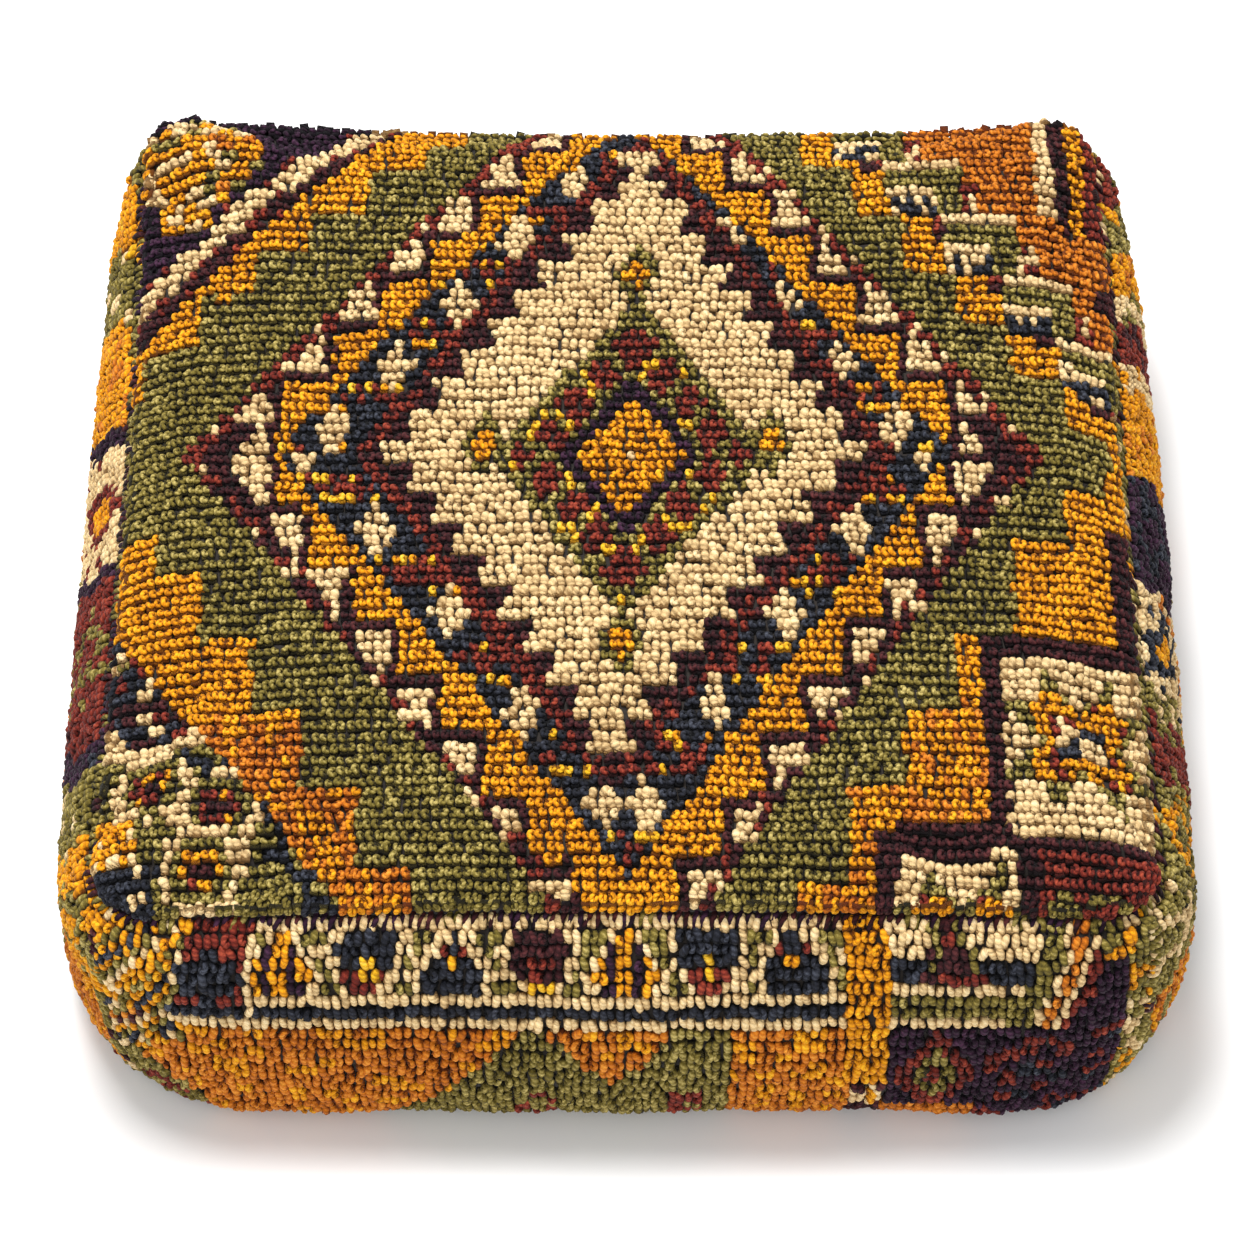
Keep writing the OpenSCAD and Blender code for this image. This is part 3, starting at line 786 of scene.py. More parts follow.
def side_border(s, row, seed):
    """Upper half of a side: olive border with small flowers, between rows of cream, over a navy line."""
    out = np.where(scatter(s, row, seed) < 0.10, CREAM, OLIVE)
    for i in range(-7, 8):
        up = 1 if i % 2 else -1
        dx, dy = np.abs(s - 9.7 * i + 1.5), (row - 3.2) * up * 1.1
        wide = np.clip(3.6 - 0.62 * np.abs(dy + 0.8) - 0.25 * dy, 0, 4)
        kind = i % 4
        if kind == 0:
            v = np.where(np.abs(dx - 1.0 - 0.4 * np.abs(dy)) < 0.7, PURPLE, GOLDEN)
            put(v, (dx < 0.7) & (np.abs(dy) < 1), GOLDEN)
        elif kind == 1:
            v = np.where((dx < 0.7) & (np.abs(dy) < 1.2), YELLOW, np.where(dy > 0.4, RED, NAVY))
        elif kind == 2:
            v = np.where(dx < 0.8, np.where(np.abs(dy) < 0.8, GOLDEN, NAVY), np.where(dy > 0.6, RED, NAVY))
        else:
            v = np.where(dx + np.abs(dy) < 1.6, RED, np.where(dy > 1, YELLOW, BROWN))
        put(out, (dx < wide + 1.25) & (wide > 0.2), CREAM)
        put(out, dx < wide, v)
    put(out, row < 1, CREAM)
    put(out, (row >= 6) & (row < 7), CREAM)
    put(out, (row >= 7) & (row < 8), NAVY)
    put(out, (row >= 8) & (row < 9), CREAM)
    return out


def front_chart(s, row):
    """Yarns of the front band by column from its middle and row from the top seam."""
    mm = s * COLUMN * 1000

    def chance(seed):
        return scatter(s, row, seed)

    def striped(yarns, place_at):
        return np.array(yarns)[np.floor(np.clip(place_at, 0, 40)).astype(int) % len(yarns)]

    out = np.where(row < 9, side_border(s - 1.4, row, 41), side_ground(s, row, 43))
    low = row >= 9
    put(out, low & (mm > -250) & (mm < -62 - 5 * (row - 9)), np.where(chance(44) < 0.2, GOLDEN, RUST))
    tri = low & (np.abs(mm + 52) < 8 + 7 * (row - 9))
    put(out, low & (mm > -100) & (mm < 60), np.where(chance(44) < 0.3, GOLDEN, RUST))
    put(out, tri, OLIVE)
    put(out, low & (mm > 26 - 6 * (row - 9)) & (mm < 59), OLIVE)
    put(out, low & ((np.abs(mm + 52) < 12) | (np.abs(mm - 36) < 10)) & (row > 15) & (chance(45) < 0.5), RED)
    put(out, low & (mm >= 59) & (mm < 129), np.where(chance(46) < 0.3, GOLDEN, RUST))
    # brick block on the left
    brick = (row < 7) & (mm < -213)
    put(out, brick, np.where((np.abs(mm + 236) + 9 * np.abs(row - 4) < 24), NAVY, RED))
    put(out, (row < 9) & (np.abs(mm + 211) < 3), CREAM)
    sweep = (-mm - 246) / 5 + (7.5 - row) * 0.9
    loops = striped([GOLDEN, GOLDEN, CREAM, OLIVE, GOLDEN, NAVY, GOLDEN, OLIVE], sweep)
    put(out, (sweep > 3) & (row < 9) & (mm < -250), np.where(chance(47) < 0.12, CREAM, loops))
    curve = (-mm - 214) / 5 - (row - 9) * 1.6
    loops = striped([RUST, OLIVE, CREAM, NAVY, OLIVE, GOLDEN, CREAM, BROWN], curve - 5)
    put(out, (curve > 6) & (row >= 9), np.where(chance(48) < 0.12, GOLDEN, loops))
    # orange post, cream square with the rest of its star
    post = (mm > 127) & (mm < 151)
    put(out, post & (row < 15), GOLDEN)
    right = mm >= 151
    v = np.where(row < 3, CREAM, NAVY)
    fan = np.abs(mm - 186) / 5
    put(v, (row < 5) & (fan < 1.8 + 0.5 * row), np.where(chance(53) < 0.7, RED, BROWN))
    put(v, (row < 4) & (np.abs(fan - 1.2 - 0.4 * row) < 0.6), OLIVE)
    put(v, (row >= 5) & (row < 6), CREAM)
    put(v, (row >= 6) & (row < 8), OLIVE)
    put(v, (row >= 8) & (row < 9), CREAM)
    put(v, row >= 9, PURPLE)
    med = np.abs(mm - 177) / 26 + np.abs(row - 13.5) / 4.6
    put(v, med < 1, RED)
    put(v, med < 0.62, OLIVE)
    put(v, med < 0.3, RED)
    slope = mm - (228 + 3.4 * (4 - row))
    v = np.where((slope > 0) & (row < 9), np.select([slope < 14, slope < 19, slope < 26, slope < 31, slope < 38],
                 [OLIVE, CREAM, RUST, CREAM, RED], PURPLE), v)
    put(v, (mm > 205) & (row >= 9), np.where(chance(50) < 0.38, RED, PURPLE))
    put(v, (mm > 225) & (row >= 9) & (chance(51) < 0.10), NAVY)
    put(v, (mm < 205) & (row > 17.5), RUST)
    put(v, (mm > 286) | ((mm > 268) & (row < 3)), mixed(s, row, 52, [OLIVE, GOLDEN, CREAM], [0.55, 0.27, 0.18]))
    put(out, right, v)
    flower = np.hypot((mm - 142) / 5, (row - 16.5) * 1.4)
    put(out, (mm > 129) & (mm < 151) & (row >= 15), BROWN)
    put(out, flower < 2.2, np.where(flower < 0.8, GOLDEN, CREAM))
    return out


def stripes_chart(s, row, lean, edges, yarns, seed):
    """A side with upright fields, each with a fleck yarn. The fields lean back as they go down."""
    place = s * COLUMN * 1000 + lean * row + 4 * np.round(np.sin(row * 0.9 + s * 0.02))
    i = np.minimum(np.searchsorted(edges, place), len(yarns) - 1)
    main, fleck = np.array([y[0] for y in yarns])[i], np.array([y[1] for y in yarns])[i]
    span = np.array([-340.0] + list(edges) + [340.0])
    centre, width = (span[:-1] + span[1:]) / 2, np.diff(span)
    dx, dy = np.abs(place - centre[i]) / 5, np.abs(row - 4.5)
    out = np.where(scatter(np.floor(s / 2), row, seed) < 0.14, fleck, main)
    big = (width[i] > 60) & (row < 9)
    put(out, big & (dx + dy * 1.3 < 5.4), fleck)
    put(out, big & (dx + dy * 1.3 < 3.2), np.where(main == CREAM, GOLDEN, main))
    low = row >= 11
    lower = side_ground(s + 5, row, seed)
    put(out, low, np.where(scatter(s, row, seed + 2) < 0.2, main, lower))
    return out


def left_chart(s, row):
    edges = [-262, -206, -150, -122, -66, -54, 44, 54, 150, 176, 200, 250]
    yarns = [(OLIVE, GOLDEN), (GOLDEN, YELLOW), (OLIVE, CREAM), (GOLDEN, RUST), (GOLDEN, RUST),
             (PURPLE, BROWN), (CREAM, RED), (PURPLE, BROWN), (RED, OLIVE), (RED, BROWN),
             (PURPLE, NAVY), (OLIVE, CREAM), (GOLDEN, OLIVE)]
    return stripes_chart(s, row, 4.5, edges, yarns, 61)


def right_chart(s, row):
    edges = [-262, -196, -150, -128, -62, -50, 36, 48, 104, 126, 160, 182, 214, 250]
    yarns = [(OLIVE, CREAM), (OLIVE, GOLDEN), (RED, OLIVE), (OLIVE, CREAM), (CREAM, NAVY),
             (CREAM, RUST), (PURPLE, NAVY), (GOLDEN, RUST), (GOLDEN, RUST), (CREAM, GOLDEN),
             (RED, BROWN), (CREAM, OLIVE), (GOLDEN, RUST), (OLIVE, GOLDEN), (RED, OLIVE)]
    return stripes_chart(s, row, -3.0, edges, yarns, 71)


def back_chart(s, row):
    return np.where(row < 9, side_border(s + 2.2, row, 81), side_ground(s + 9, row, 83))


# ---- one knot of each kind ----
PAINTED_SHADE_DEPTH = 0.0052               # depth at which a knot's painted shade is full


def curl_template(turn_from, turn_to, rx, ry, thick, lift, around=6, along=8):
    """A loop of yarn that rises from the ground, turns over and goes down again. The top is at z = 0."""
    t = np.linspace(0, 1, along + 1)
    ang = np.radians(turn_from + (turn_to - turn_from) * t)
    arch = np.sin(math.pi * np.clip(t * 1.02, 0, 1)) ** 0.6
    line = np.stack([rx * np.cos(ang), ry * np.sin(ang), -thick - lift * (1 - arch)], -1)
    radius = thick * (0.78 + 0.22 * np.sin(math.pi * t) ** 0.5)
    radius[0], radius[-1] = thick * 0.62, thick * 0.55
    return tube_template(line, radius, thick, around)


def stitch_template(length, thick, slant, drop, around=6, along=6):
    """One turn of sewing yarn over a seam that runs along x."""
    t = np.linspace(-1, 1, along + 1)
    line = np.stack([slant * t * length / 2, t * length / 2, -thick - drop * t * t], -1)
    return tube_template(line, thick * (1 - 0.25 * t * t), thick, around)


def tube_template(line, radius, thick, around):
    along = len(line) - 1
    tangent = np.gradient(line, axis=0)
    tangent /= np.linalg.norm(tangent, axis=1, keepdims=True)
    side = np.cross(tangent, [0, 0, 1.0])
    side /= np.maximum(np.linalg.norm(side, axis=1, keepdims=True), 1e-9)
    up = np.cross(side, tangent)
    th = np.arange(around) / around * TAU
    ring = line[:, None] + radius[:, None, None] * (np.cos(th)[None, :, None] * side[:, None]
                                                    + np.sin(th)[None, :, None] * up[:, None])
    verts = np.vstack([ring.reshape(-1, 3), line[:1] - tangent[:1] * thick * 0.3,
                       line[-1:] + tangent[-1:] * thick * 0.4])
    first, last = len(verts) - 2, len(verts) - 1
    quads, uvs, strand = [], [], []
    for i in range(along):
        v0, v1, s0, s1 = (i + 0.5) / (along + 1), (i + 1.5) / (along + 1), i / along, (i + 1) / along
        for j in range(around):
            k, a, b = (j + 1) % around, j / around, (j + 1) / around
            quads.append((i * around + j, i * around + k, (i + 1) * around + k, (i + 1) * around + j))
            uvs.append([(a, v0), (b, v0), (b, v1), (a, v1)])
            strand.append([(a, s0), (b, s0), (b, s1), (a, s1)])
    tris, tri_uv, tri_strand = [], [], []
    end, near, far = along * around, 0.5 / (along + 1), (along + 0.5) / (along + 1)
    for j in range(around):
        k, a, b, m = (j + 1) % around, j / around, (j + 1) / around, (j + 0.5) / around
        tris += [(first, k, j), (last, end + j, end + k)]
        tri_uv += [[(m, 0), (b, near), (a, near)], [(m, 1), (a, far), (b, far)]]
        tri_strand += [[(m, 0), (b, 0), (a, 0)], [(m, 1), (a, 1), (b, 1)]]
    return template(verts, quads, tris, uvs, tri_uv, strand, tri_strand)


def template(verts, quads, tris, quad_uv, tri_uv, quad_strand, tri_strand):
    """One knot: places, faces, a map of its faces, a map along its yarn, and each point's painted shade, from how far
    down it lies.
    """
    verts = np.array(verts)
    return {"v": verts, "q": np.array(quads), "t": np.array(tris), "quv": np.array(quad_uv, float),
            "tuv": np.array(tri_uv, float), "qs": np.array(quad_strand, float), "ts": np.array(tri_strand, float),
            "deep": np.clip(-verts[:, 2] / PAINTED_SHADE_DEPTH, 0, 1) ** 1.3}


def kernel_template(px, py, turn, rx, ry, rz, lean, around=8, rings=5):
    """The plump end of a yarn, like a grain, with its lower end tucked down."""
    verts, quads, tris, quad_uv, tri_uv, tri_strand = [], [], [], [], [], []
    ca, sa = math.cos(turn), math.sin(turn)

    def vertex(x, y, z):
        verts.append((px + ca * x - sa * y, py + sa * x + ca * y, z - rz))

    for i in range(1, rings + 1):
        ph = math.pi * i / (rings + 1)
        w = math.sin(ph) ** 0.85
        tuck = lean * (0.5 - 0.5 * math.cos(ph)) ** 2
        for j in range(around):
            th = TAU * j / around
            vertex(rx * w * math.cos(th), ry * math.cos(ph), rz * w * math.sin(th) - tuck)
    vertex(0, ry, 0)
    vertex(0, -ry, -lean)
    first, end = rings * around, (rings - 1) * around
    near, far = 1 / (rings + 1), rings / (rings + 1)
    for i in range(rings - 1):
        v0, v1 = (i + 1) / (rings + 1), (i + 2) / (rings + 1)
        for j in range(around):
            k, a, b = (j + 1) % around, j / around, (j + 1) / around
            quads.append((i * around + j, (i + 1) * around + j, (i + 1) * around + k, i * around + k))
            quad_uv.append([(a, v0), (a, v1), (b, v1), (b, v0)])
    for j in range(around):
        k, a, b, m = (j + 1) % around, j / around, (j + 1) / around, (j + 0.5) / around
        tris += [(first, j, k), (first + 1, end + k, end + j)]
        tri_uv += [[(m, 0), (a, near), (b, near)], [(m, 1), (b, far), (a, far)]]
        tri_strand += [[(m, 0), (a, 0.2), (b, 0.2)], [(m, 1), (b, 0.8), (a, 0.8)]]
    return template(verts, quads, tris, quad_uv, tri_uv, quad_uv, tri_strand)


CURLS = [
    curl_template(62, 372, 0.00150, 0.00232, 0.00150, 0.0028),
    curl_template(118, -192, 0.00146, 0.00236, 0.00148, 0.0028),
    curl_template(35, 340, 0.00154, 0.00222, 0.00154, 0.0030),
    curl_template(80, 410, 0.00148, 0.00240, 0.00144, 0.0026),
]
GRAINS = [
    kernel_template(0.0, 0.0, 0.55, 0.0030, 0.0041, 0.0031, 0.0030),
    kernel_template(0.0, 0.0002, -0.50, 0.0030, 0.0041, 0.0031, 0.0032),
    kernel_template(0.0001, 0.0, 0.12, 0.0029, 0.0042, 0.0030, 0.0030),
    curl_template(60, 372, 0.00146, 0.00216, 0.00172, 0.0024),
]
PETALS = [
    kernel_template(0.0, 0.0, 0.10, 0.0026, 0.0050, 0.0030, 0.0012),
    kernel_template(0.0001, 0.0002, -0.14, 0.0027, 0.0048, 0.0031, 0.0010),
    kernel_template(-0.0001, 0.0, 0.28, 0.0025, 0.0051, 0.0029, 0.0014),
]
SIDE_CURLS = [
    curl_template(60, 345, 0.00140, 0.00230, 0.00158, 0.0030),
    curl_template(118, -165, 0.00136, 0.00235, 0.00156, 0.0030),
]


def with_foot(t, x=0.00262, y=0.0041, top=-0.0030, low=-0.0052):
    """The knot with the foot that grips the ground: a low closed block as wide as the knot's place."""
    c = np.array([(-1, -1), (1, -1), (1, 1), (-1, 1)])
    foot = np.vstack([np.column_stack([c * (x * 0.84, y * 0.88), np.full(4, top)]),
                      np.column_stack([c * (x, y), np.full(4, low)])])
    sides = [(i, i + 4, (i + 1) % 4 + 4, (i + 1) % 4) for i in range(4)]
    q = np.array([(0, 1, 2, 3), (7, 6, 5, 4)] + sides) + len(t["v"])
    square = np.array([(0, 0), (1, 0), (1, 1), (0, 1)], float)
    cells = np.array([square * (0.14, 0.06) + (0.16 * i + 0.01, 0.92) for i in range(6)])
    out = dict(t)
    out["v"], out["q"] = np.vstack([t["v"], foot]), np.vstack([t["q"], q])
    out["quv"] = np.concatenate([t["quv"] * (1, 0.9), cells])
    out["tuv"] = t["tuv"] * (1, 0.9)
    out["qs"] = np.concatenate([t["qs"], np.array([square] * 6)])
    # painted shade on the foot: most of it at its top, full at its bottom
    out["deep"] = np.concatenate([t["deep"], np.full(4, 0.72), np.full(4, 1.0)])
    return out


CURLS, GRAINS, PETALS, SIDE_CURLS = ([with_foot(t) for t in kinds] for kinds in (CURLS, GRAINS, PETALS, SIDE_CURLS))


def knot_mesh(name, batches, materials):
    """One mesh of many knots. A batch is (template, origins, frames, material index, tones)."""
    total = sum(len(b[1]) for b in batches)
    grid = math.ceil(math.sqrt(total))
    points, quads, tris, painted_shades, tones = [], [], [], [], []
    uq, ut, sq, st, mq, mt = [], [], [], [], [], []
    offset, cell = 0, 0
    for t, origins, frames, index, tone in batches:
        n, nv = len(origins), len(t["v"])
        if not n:
            continue
        p = np.einsum("nij,vj->nvi", frames, t["v"]) + origins[:, None]
        points.append(p.reshape(-1, 3))
        shift = offset + np.arange(n) * nv
        quads.append((t["q"][None] + shift[:, None, None]).reshape(-1, 4))
        tris.append((t["t"][None] + shift[:, None, None]).reshape(-1, 3))
        painted_shades.append(np.tile(t["deep"], n))
        tones.append(np.repeat(tone, nv))
        place_in = np.stack([(cell + np.arange(n)) % grid, (cell + np.arange(n)) // grid], -1)[:, None, None, :]
        for src, dst in ((t["quv"], uq), (t["tuv"], ut)):
            dst.append(((place_in + 0.05 + 0.9 * src[None]) / grid).reshape(-1, 2))
        sq.append(np.tile(t["qs"].reshape(-1, 2), (n, 1)))
        st.append(np.tile(t["ts"].reshape(-1, 2), (n, 1)))
        mq.append(np.full(n * len(t["q"]), index))
        mt.append(np.full(n * len(t["t"]), index))
        offset, cell = offset + n * nv, cell + n
    mesh = mesh_from(name, np.vstack(points), [np.vstack(quads), np.vstack(tris)])
    for label, data in (("OFBake", uq + ut), ("Strand", sq + st)):
        layer = mesh.uv_layers.new(name=label)
        layer.data.foreach_set("uv", np.vstack(data).astype(np.float32).ravel())
    # per point: tone, and the painted shade that darkens the yarn down in the pile
    for label, data in (("deep", painted_shades), ("tone", tones)):
        mesh.attributes.new(label, "FLOAT", "POINT").data.foreach_set("value", np.concatenate(data).astype(np.float32))
    mesh.polygons.foreach_set("material_index", np.concatenate(mq + mt).astype(np.int32))
    for m in materials:
        mesh.materials.append(m)
    mesh.validate()
    return mesh


def turned(frames, about_z, about_x, about_y, scale):
    """Knot frames turned by small chance angles and scaled."""
    def rot(a, i, j):
        m = np.tile(np.eye(3), (len(a), 1, 1))
        m[:, i, i] = m[:, j, j] = np.cos(a)
        m[:, i, j], m[:, j, i] = -np.sin(a), np.sin(a)
        return m
    local = rot(about_z, 0, 1) @ rot(about_x, 1, 2) @ rot(about_y, 2, 0)
    return frames @ local * scale[:, None, None]


def frames_on(surface, u, v, du, dv):
    """Points of a surface with frames: first axis along u, second against v, third outwards."""
    p = swelled(surface(u, v))
    e = 0.0015
    tu = surface(u + e * du, v) - surface(u - e * du, v)
    tv = surface(u, v - e * dv) - surface(u, v + e * dv)
    tu /= np.maximum(np.linalg.norm(tu, axis=1, keepdims=True), 1e-12)
    n = np.cross(tu, tv)
    n /= np.maximum(np.linalg.norm(n, axis=1, keepdims=True), 1e-12)
    return p, np.stack([tu, np.cross(n, tu), n], -1)


yarn_materials = [yarn_material(n) for n in NAMES]


def batches_for(points, frames, yarn, jitter, petals):
    """Sorts knots by yarn and template, with chance turns, sizes and tones."""
    n = len(points)
    z = rng.normal(0, 0.16 * jitter, n)
    x = rng.normal(-0.10, 0.13 * jitter, n)
    y = rng.normal(0, 0.15 * jitter, n)
    scale = rng.normal(1.0, 0.055 * jitter, n).clip(0.8, 1.2)
    turned_frames = turned(frames, z, x, y, scale)
    out_by = rng.normal(0, 0.00035 * jitter, n)[:, None] * frames[:, :, 2]
    aside = rng.normal(0, 0.00022 * jitter, (n, 1)) * frames[:, :, 0]
    aside = aside + rng.normal(0, 0.0003 * jitter, (n, 1)) * frames[:, :, 1]
    points = points + out_by + aside
    tone = rng.beta(2.2, 2.2, n)
    pick = rng.random(n)
    result = {i: [] for i in range(len(NAMES))}
    for i in range(len(NAMES)):
        mine = yarn == i
        kinds = GRAINS if i == CREAM else CURLS
        if petals:
            kinds = PETALS if i in (CREAM, YELLOW) else SIDE_CURLS + PETALS
        chosen = np.minimum((pick * len(kinds)).astype(int), len(kinds) - 1)
        for k, t in enumerate(kinds):
            m = mine & (chosen == k)
            if m.any():
                result[i].append((t, points[m], turned_frames[m], i, tone[m]))
    return result


# ---- woven ground under the pile ----
# the woven ground is real, but its near-black colour is painted shade for the gaps between the rows of knots
ground_shade_material = cloth_material("rug_ground_painted_shade", (12, 8, 7), (34, 25, 18), 90.0)


def net_normals(points, faces):
    mesh = mesh_from("normals", points, np.array(faces))
    n = np.empty(len(points) * 3, np.float32)
    mesh.vertices.foreach_get("normal", n)
    bpy.data.meshes.remove(mesh)
    return n.reshape(-1, 3).astype(float)


blown = net_points + swell
blown_normals = net_normals(blown, net_faces)


def layer(name, parts, inset, thickness, material):
    """A closed sheet that follows the cover's net below its surface."""
    chosen = np.array([f for f, p in zip(net_faces, net_part) if p in parts])
    used, corners = np.unique(chosen, return_inverse=True)
    faces = corners.reshape(-1, 4)
    n = len(used)
    outer = blown[used] - blown_normals[used] * inset
    inner = outer - blown_normals[used] * thickness
    edges = np.concatenate([faces[:, [i, (i + 1) % 4]] for i in range(4)])
    key = np.sort(edges, axis=1) @ np.array([n, 1])
    _, index, count = np.unique(key, return_index=True, return_counts=True)
    rim = edges[index[count == 1]]
    rim = np.stack([rim[:, 1], rim[:, 0], rim[:, 0] + n, rim[:, 1] + n], -1)
    mesh = mesh_from(name, np.vstack([outer, inner]), np.vstack([faces, faces[:, ::-1] + n, rim]))
    mesh.materials.append(material)
    return place(name, mesh)


def area_of(parts):
    total = 0.0
    for f, p in zip(net_faces, net_part):
        if p in parts:
            a, b, c, d = blown[list(f)]
            total += np.linalg.norm(np.cross(c - a, d - b)) / 2
    return total


# ---- top pile ----
ks, rs = np.meshgrid(np.arange(-66, 67), np.arange(-40, 44))
ks, rs = ks.ravel(), rs.ravel()
fx = 0.0031 + (ks + 0.6 * (scatter(rs, 0 * rs, 9) - 0.5)) * COLUMN
fy = 0.017 - rs * ROW
fx = fx + soft(fx, fy, 0.10, 0.0009, 7)
fy = fy + soft(fx, fy, 0.12, 0.0009, 8)
qx, qy = np.abs(fx) - (FLAT_HALF - FLAT_R), np.abs(fy) - (FLAT_HALF - FLAT_R)
depth = np.where((qx > 0) & (qy > 0), FLAT_R - np.hypot(np.maximum(qx, 0), np.maximum(qy, 0)),
                 FLAT_HALF - np.maximum(np.abs(fx), np.abs(fy)))
keep = depth > 0.0015
fx, fy = fx[keep], fy[keep]
points, frames = frames_on(top_point, fx, fy, np.ones_like(fx), -np.ones_like(fy))
top_yarn = top_chart(points[:, 0], points[:, 1])
top_sets = batches_for(points, frames, top_yarn, 1.0, False)
for i, name in enumerate(NAMES):
    if not top_sets[i]:
        continue
    batches = [(t, p, f, 0, tone) for t, p, f, _, tone in top_sets[i]]
    obj = place("top_pile_" + name, knot_mesh("top_pile_" + name, batches, [yarn_materials[i]]))
    print(obj.name, sum(len(b[1]) for b in batches), "knots", len(obj.data.polygons), "faces")
top_ground = layer("top_ground", ("top",), PILE, GROUND, ground_shade_material)
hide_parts("top_panel")

# ---- side pile ----
CHARTS = {"front": front_chart, "right": right_chart, "back": back_chart, "left": left_chart}
quarter_len = 2 * (LEVELS[4, 0] - LEVELS[4, 2]) + math.pi / 2 * LEVELS[4, 2]
columns = int(round(quarter_len / COLUMN))
rows = int((SIDE_LEN - 0.004) / ROW)
grounds = {}
for n, side in enumerate(("front", "right", "back", "left")):
    cs, rr = np.meshgrid(np.arange(columns), np.arange(rows))
    cs, rr = cs.ravel(), rr.ravel()
    s = cs + 0.5 - columns / 2
    share = n / 4 + s / columns / 4
    down = 0.0035 + rr * (SIDE_LEN - 0.006) / (rows - 0.5)
    points, frames = frames_on(band_point, share, down, np.full(len(s), 1 / (4 * quarter_len)), np.ones(len(s)))
    yarn = CHARTS[side](s, rr)
    sets = batches_for(points, frames, yarn, 1.25, True)
    batches = [b for i in range(len(NAMES)) for b in sets[i]]
    obj = place(side + "_pile", knot_mesh(side + "_pile", batches, yarn_materials))
    ground = layer(side + "_ground", (side,), PILE, GROUND, ground_shade_material)
    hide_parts(side + "_band")
    grounds[side] = (ground, obj)
    print(obj.name, len(s), "knots", len(obj.data.polygons), "faces")

# ---- seams ----
STITCHES = [stitch_template(0.0130, 0.00175, k, 0.0046) for k in (0.34, 0.46, 0.26)]


def sewn(name, points, frames, yarn, node_name):
    n = len(points)
    frames = turned(frames, rng.normal(0, 0.10, n), rng.normal(0, 0.08, n), rng.normal(0, 0.08, n),
                    rng.normal(1.0, 0.06, n).clip(0.85, 1.15))
    tone, pick = rng.beta(2.2, 2.2, n), rng.integers(0, len(STITCHES), n)
    batches = []
    for i in range(len(NAMES)):
        for k, t in enumerate(STITCHES):
            m = (yarn == i) & (pick == k)
            if m.any():
                batches.append((t, points[m], frames[m], i, tone[m]))
    obj = place(name, knot_mesh(name, batches, yarn_materials))
    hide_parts(node_name)
    return obj


count = 470                 # turns of yarn round the top seam
share = np.arange(count) / count
p, f_side = frames_on(band_point, share, np.full(count, 0.0004), np.full(count, 1 / (4 * quarter_len)), np.ones(count))
up = np.zeros_like(p)
up[:, 2] = 1
n_out = f_side[:, :, 2] + 0.9 * up
n_out /= np.linalg.norm(n_out, axis=1, keepdims=True)
t_along = f_side[:, :, 0]
across = np.cross(n_out, t_along)
seam_frames = np.stack([t_along, across, n_out], -1)
whole = np.floor(share * 4 + 0.5).astype(int) % 4
yarn = np.zeros(count, int)
for side, (yarns, shares) in enumerate((([PURPLE, BROWN, OLIVE], [0.5, 0.38, 0.12]),
                                        ([OLIVE, CREAM, BROWN, GOLDEN], [0.4, 0.15, 0.3, 0.15]),
                                        ([PURPLE, BROWN, OLIVE], [0.5, 0.3, 0.2]),
                                        ([OLIVE, BROWN, PURPLE], [0.4, 0.35, 0.25]))):
    put(yarn, whole == side, mixed(share * count, share * 0, 91 + side, yarns, shares))
wrap_out = np.where(whole == 0, -0.0002, 0.0024)[:, None]
sewn("top_seam_wraps", p + n_out * wrap_out, seam_frames, yarn, "top_seam_yarn")
pitch = 0.0056              # between turns of yarn at the corners
per_corner = int(SIDE_LEN / pitch)
down = np.tile(0.006 + (SIDE_LEN - 0.012) * (np.arange(per_corner) + 0.5) / per_corner, 4)
share = np.repeat(-0.125 + np.arange(4) / 4, per_corner)
p, f_side = frames_on(band_point, share, down, np.full(len(down), 1 / (4 * quarter_len)), np.ones(len(down)))
corner_frames = np.stack([-f_side[:, :, 1], f_side[:, :, 0], f_side[:, :, 2]], -1)
yarn = mixed(down / pitch, share * 40, 95, [OLIVE, CREAM, GOLDEN, BROWN], [0.45, 0.2, 0.2, 0.15])
sewn("corner_seam_wraps", p + f_side[:, :, 2] * 0.0010, corner_frames, yarn, "corner_seam_yarn")

# ---- base, insert and zip ----
canvas_material = cloth_material("canvas_weave", (148, 124, 88), (206, 186, 146), 220.0)
liner_material = cloth_material("calico_weave", (206, 196, 170), (240, 234, 216), 340.0, 0.0002)
tape_material = cloth_material("tape_weave", (34, 22, 16), (78, 56, 42), 420.0, 0.00015)


def filling_material(name, base, light, scale, depth, sheen):
    material, nodes, links, shader = new_material(name)
    cells = node(nodes, "ShaderNodeTexVoronoi", Scale=scale)
    fluff = node(nodes, "ShaderNodeTexNoise", Scale=scale / 5, Detail=6.0)
    in_object(nodes, links, cells, fluff)
    mix = maths(nodes, links, "MULTIPLY", cells.outputs["Distance"], fluff.outputs["Fac"])
    mix = maths(nodes, links, "ADD", mix, maths(nodes, links, "MULTIPLY", fluff.outputs["Fac"], 0.6))
    links.new(ramp(nodes, links, mix, [(0.2, linear(base)), (0.7, linear(light))]), shader.inputs["Base Color"])
    raised(nodes, links, shader, cells.outputs["Distance"], 0.6, depth)
    shader.inputs["Roughness"].default_value = 0.95
    shader.inputs["Sheen Weight"].default_value = sheen
    return material


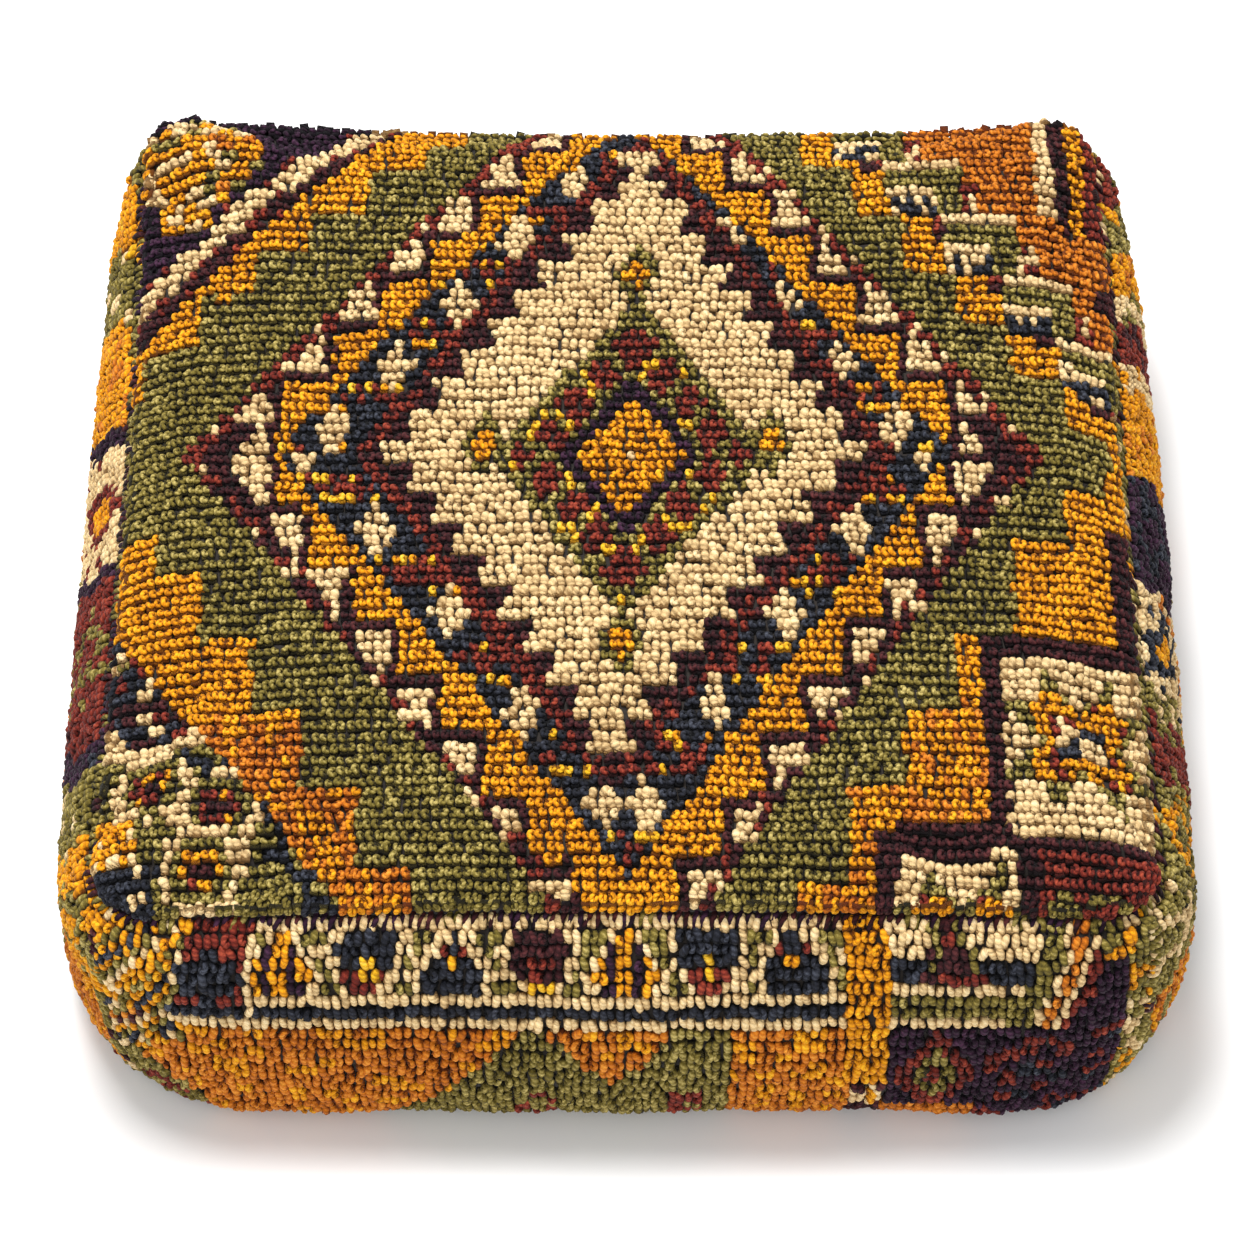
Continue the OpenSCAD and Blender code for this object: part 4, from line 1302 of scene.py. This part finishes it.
def worn_material(name, base, light, metallic, rough_low, rough_high):
    """Plastic or metal, rubbed paler and smoother in patches."""
    material, nodes, links, shader = new_material(name)
    rub = node(nodes, "ShaderNodeTexNoise", Scale=420.0, Detail=5.0)
    scratch = node(nodes, "ShaderNodeTexNoise", Scale=2600.0, Detail=3.0)
    in_object(nodes, links, rub, scratch)
    colour = ramp(nodes, links, rub.outputs["Fac"], [(0.35, linear(base)), (0.68, linear(light))])
    links.new(colour, shader.inputs["Base Color"])
    rough = node(nodes, "ShaderNodeMapRange", **{"To Min": rough_high, "To Max": rough_low})
    links.new(rub.outputs["Fac"], rough.inputs["Value"])
    links.new(rough.outputs["Result"], shader.inputs["Roughness"])
    raised(nodes, links, shader, scratch.outputs["Fac"], 0.25, 0.00005)
    shader.inputs["Metallic"].default_value = metallic
    return material


def finer(source, name, longest, depth, size, material, body="cushion"):
    """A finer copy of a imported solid, its faces pressed in softly so that they are never dead flat."""
    bm = bmesh.new()
    bm.from_mesh(bpy.data.objects[source].data)
    bmesh.ops.remove_doubles(bm, verts=bm.verts[:], dist=1e-6)
    for _ in range(9):
        long = [e for e in bm.edges if e.calc_length() > longest]
        if not long:
            break
        bmesh.ops.subdivide_edges(bm, edges=long, cuts=1)
        bmesh.ops.triangulate(bm, faces=[f for f in bm.faces if len(f.verts) > 3])
    bm.normal_update()
    for v in bm.verts:
        v.normal_update()
    for v, n in [(v, v.normal.copy()) for v in bm.verts]:
        push = depth * (0.5 + 0.5 * noise.noise(v.co / size))
        v.co -= n * max(push, 0)
    for f in bm.faces:
        f.smooth = True
    mesh = bpy.data.meshes.new(name)
    bm.to_mesh(mesh)
    bm.free()
    mesh.materials.clear()
    mesh.materials.append(material)
    obj = place(name, mesh, body)
    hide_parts(source)
    return obj


def half_area(obj):
    bm = bmesh.new()
    bm.from_mesh(obj.data)
    area = sum(f.calc_area() for f in bm.faces) / 2
    bm.free()
    return area


fibre_material = filling_material("fibre_fill", (214, 212, 204), (250, 250, 246), 900.0, 0.0005, 0.5)
foam_material = filling_material("foam_cells", (196, 176, 112), (236, 220, 160), 1300.0, 0.0004, 0.1)
foam = finer("foam_core", "foam_slab", 0.020, 0.0012, 0.06, foam_material)
for end in ("top", "base"):
    pad = finer("fibre_" + end, "fibre_pad_" + end, 0.020, 0.0012, 0.04, fibre_material)
liners = []
for part in ("top", "band", "base"):
    sheet = finer("liner_" + part, "liner_sheet_" + part, 0.012, 0.00012, 0.02, liner_material)
    area = half_area(sheet)
    liners.append(sheet.name)
for part in ("front", "back"):
    sheet = finer("base_" + part, "canvas_" + part, 0.010, 0.0002, 0.03, canvas_material)
    area = half_area(sheet)
    tape = finer("zip_tape_" + part, "tape_" + part, 0.004, 0.00008, 0.01, tape_material)
patches = finer("zip_end_patches", "canvas_patches", 0.006, 0.0001, 0.01, canvas_material)
area = half_area(patches)

teeth_material = worn_material("zip_teeth_brown", (34, 22, 16), (66, 46, 34), 0.0, 0.28, 0.5)
brass_material = worn_material("zip_brass", (96, 66, 28), (188, 146, 78), 1.0, 0.24, 0.5)
thread_material = cloth_material("waxed_thread", (150, 128, 92), (206, 186, 150), 900.0, 0.0001)
for name, material in (("zip_teeth_front", teeth_material), ("zip_teeth_back", teeth_material),
                       ("zip_top_stops", brass_material), ("zip_bottom_stop", brass_material),
                       ("zip_slider", brass_material), ("zip_pull", brass_material),
                       ("base_seam_thread", thread_material), ("zip_seam_thread", thread_material)):
    cad = bpy.data.objects[name]
    if not cad.material_slots:
        cad.data.materials.append(material)
    for s in cad.material_slots:
        s.material = material

# area of each side of the cover, printed next to its width round the widest level times its length down the cloth
for side, (ground, pile) in grounds.items():
    area = area_of((side,))
    print("side", side, round(area, 4), round(quarter_len * SIDE_LEN, 4))

make_camera()
make_studio()
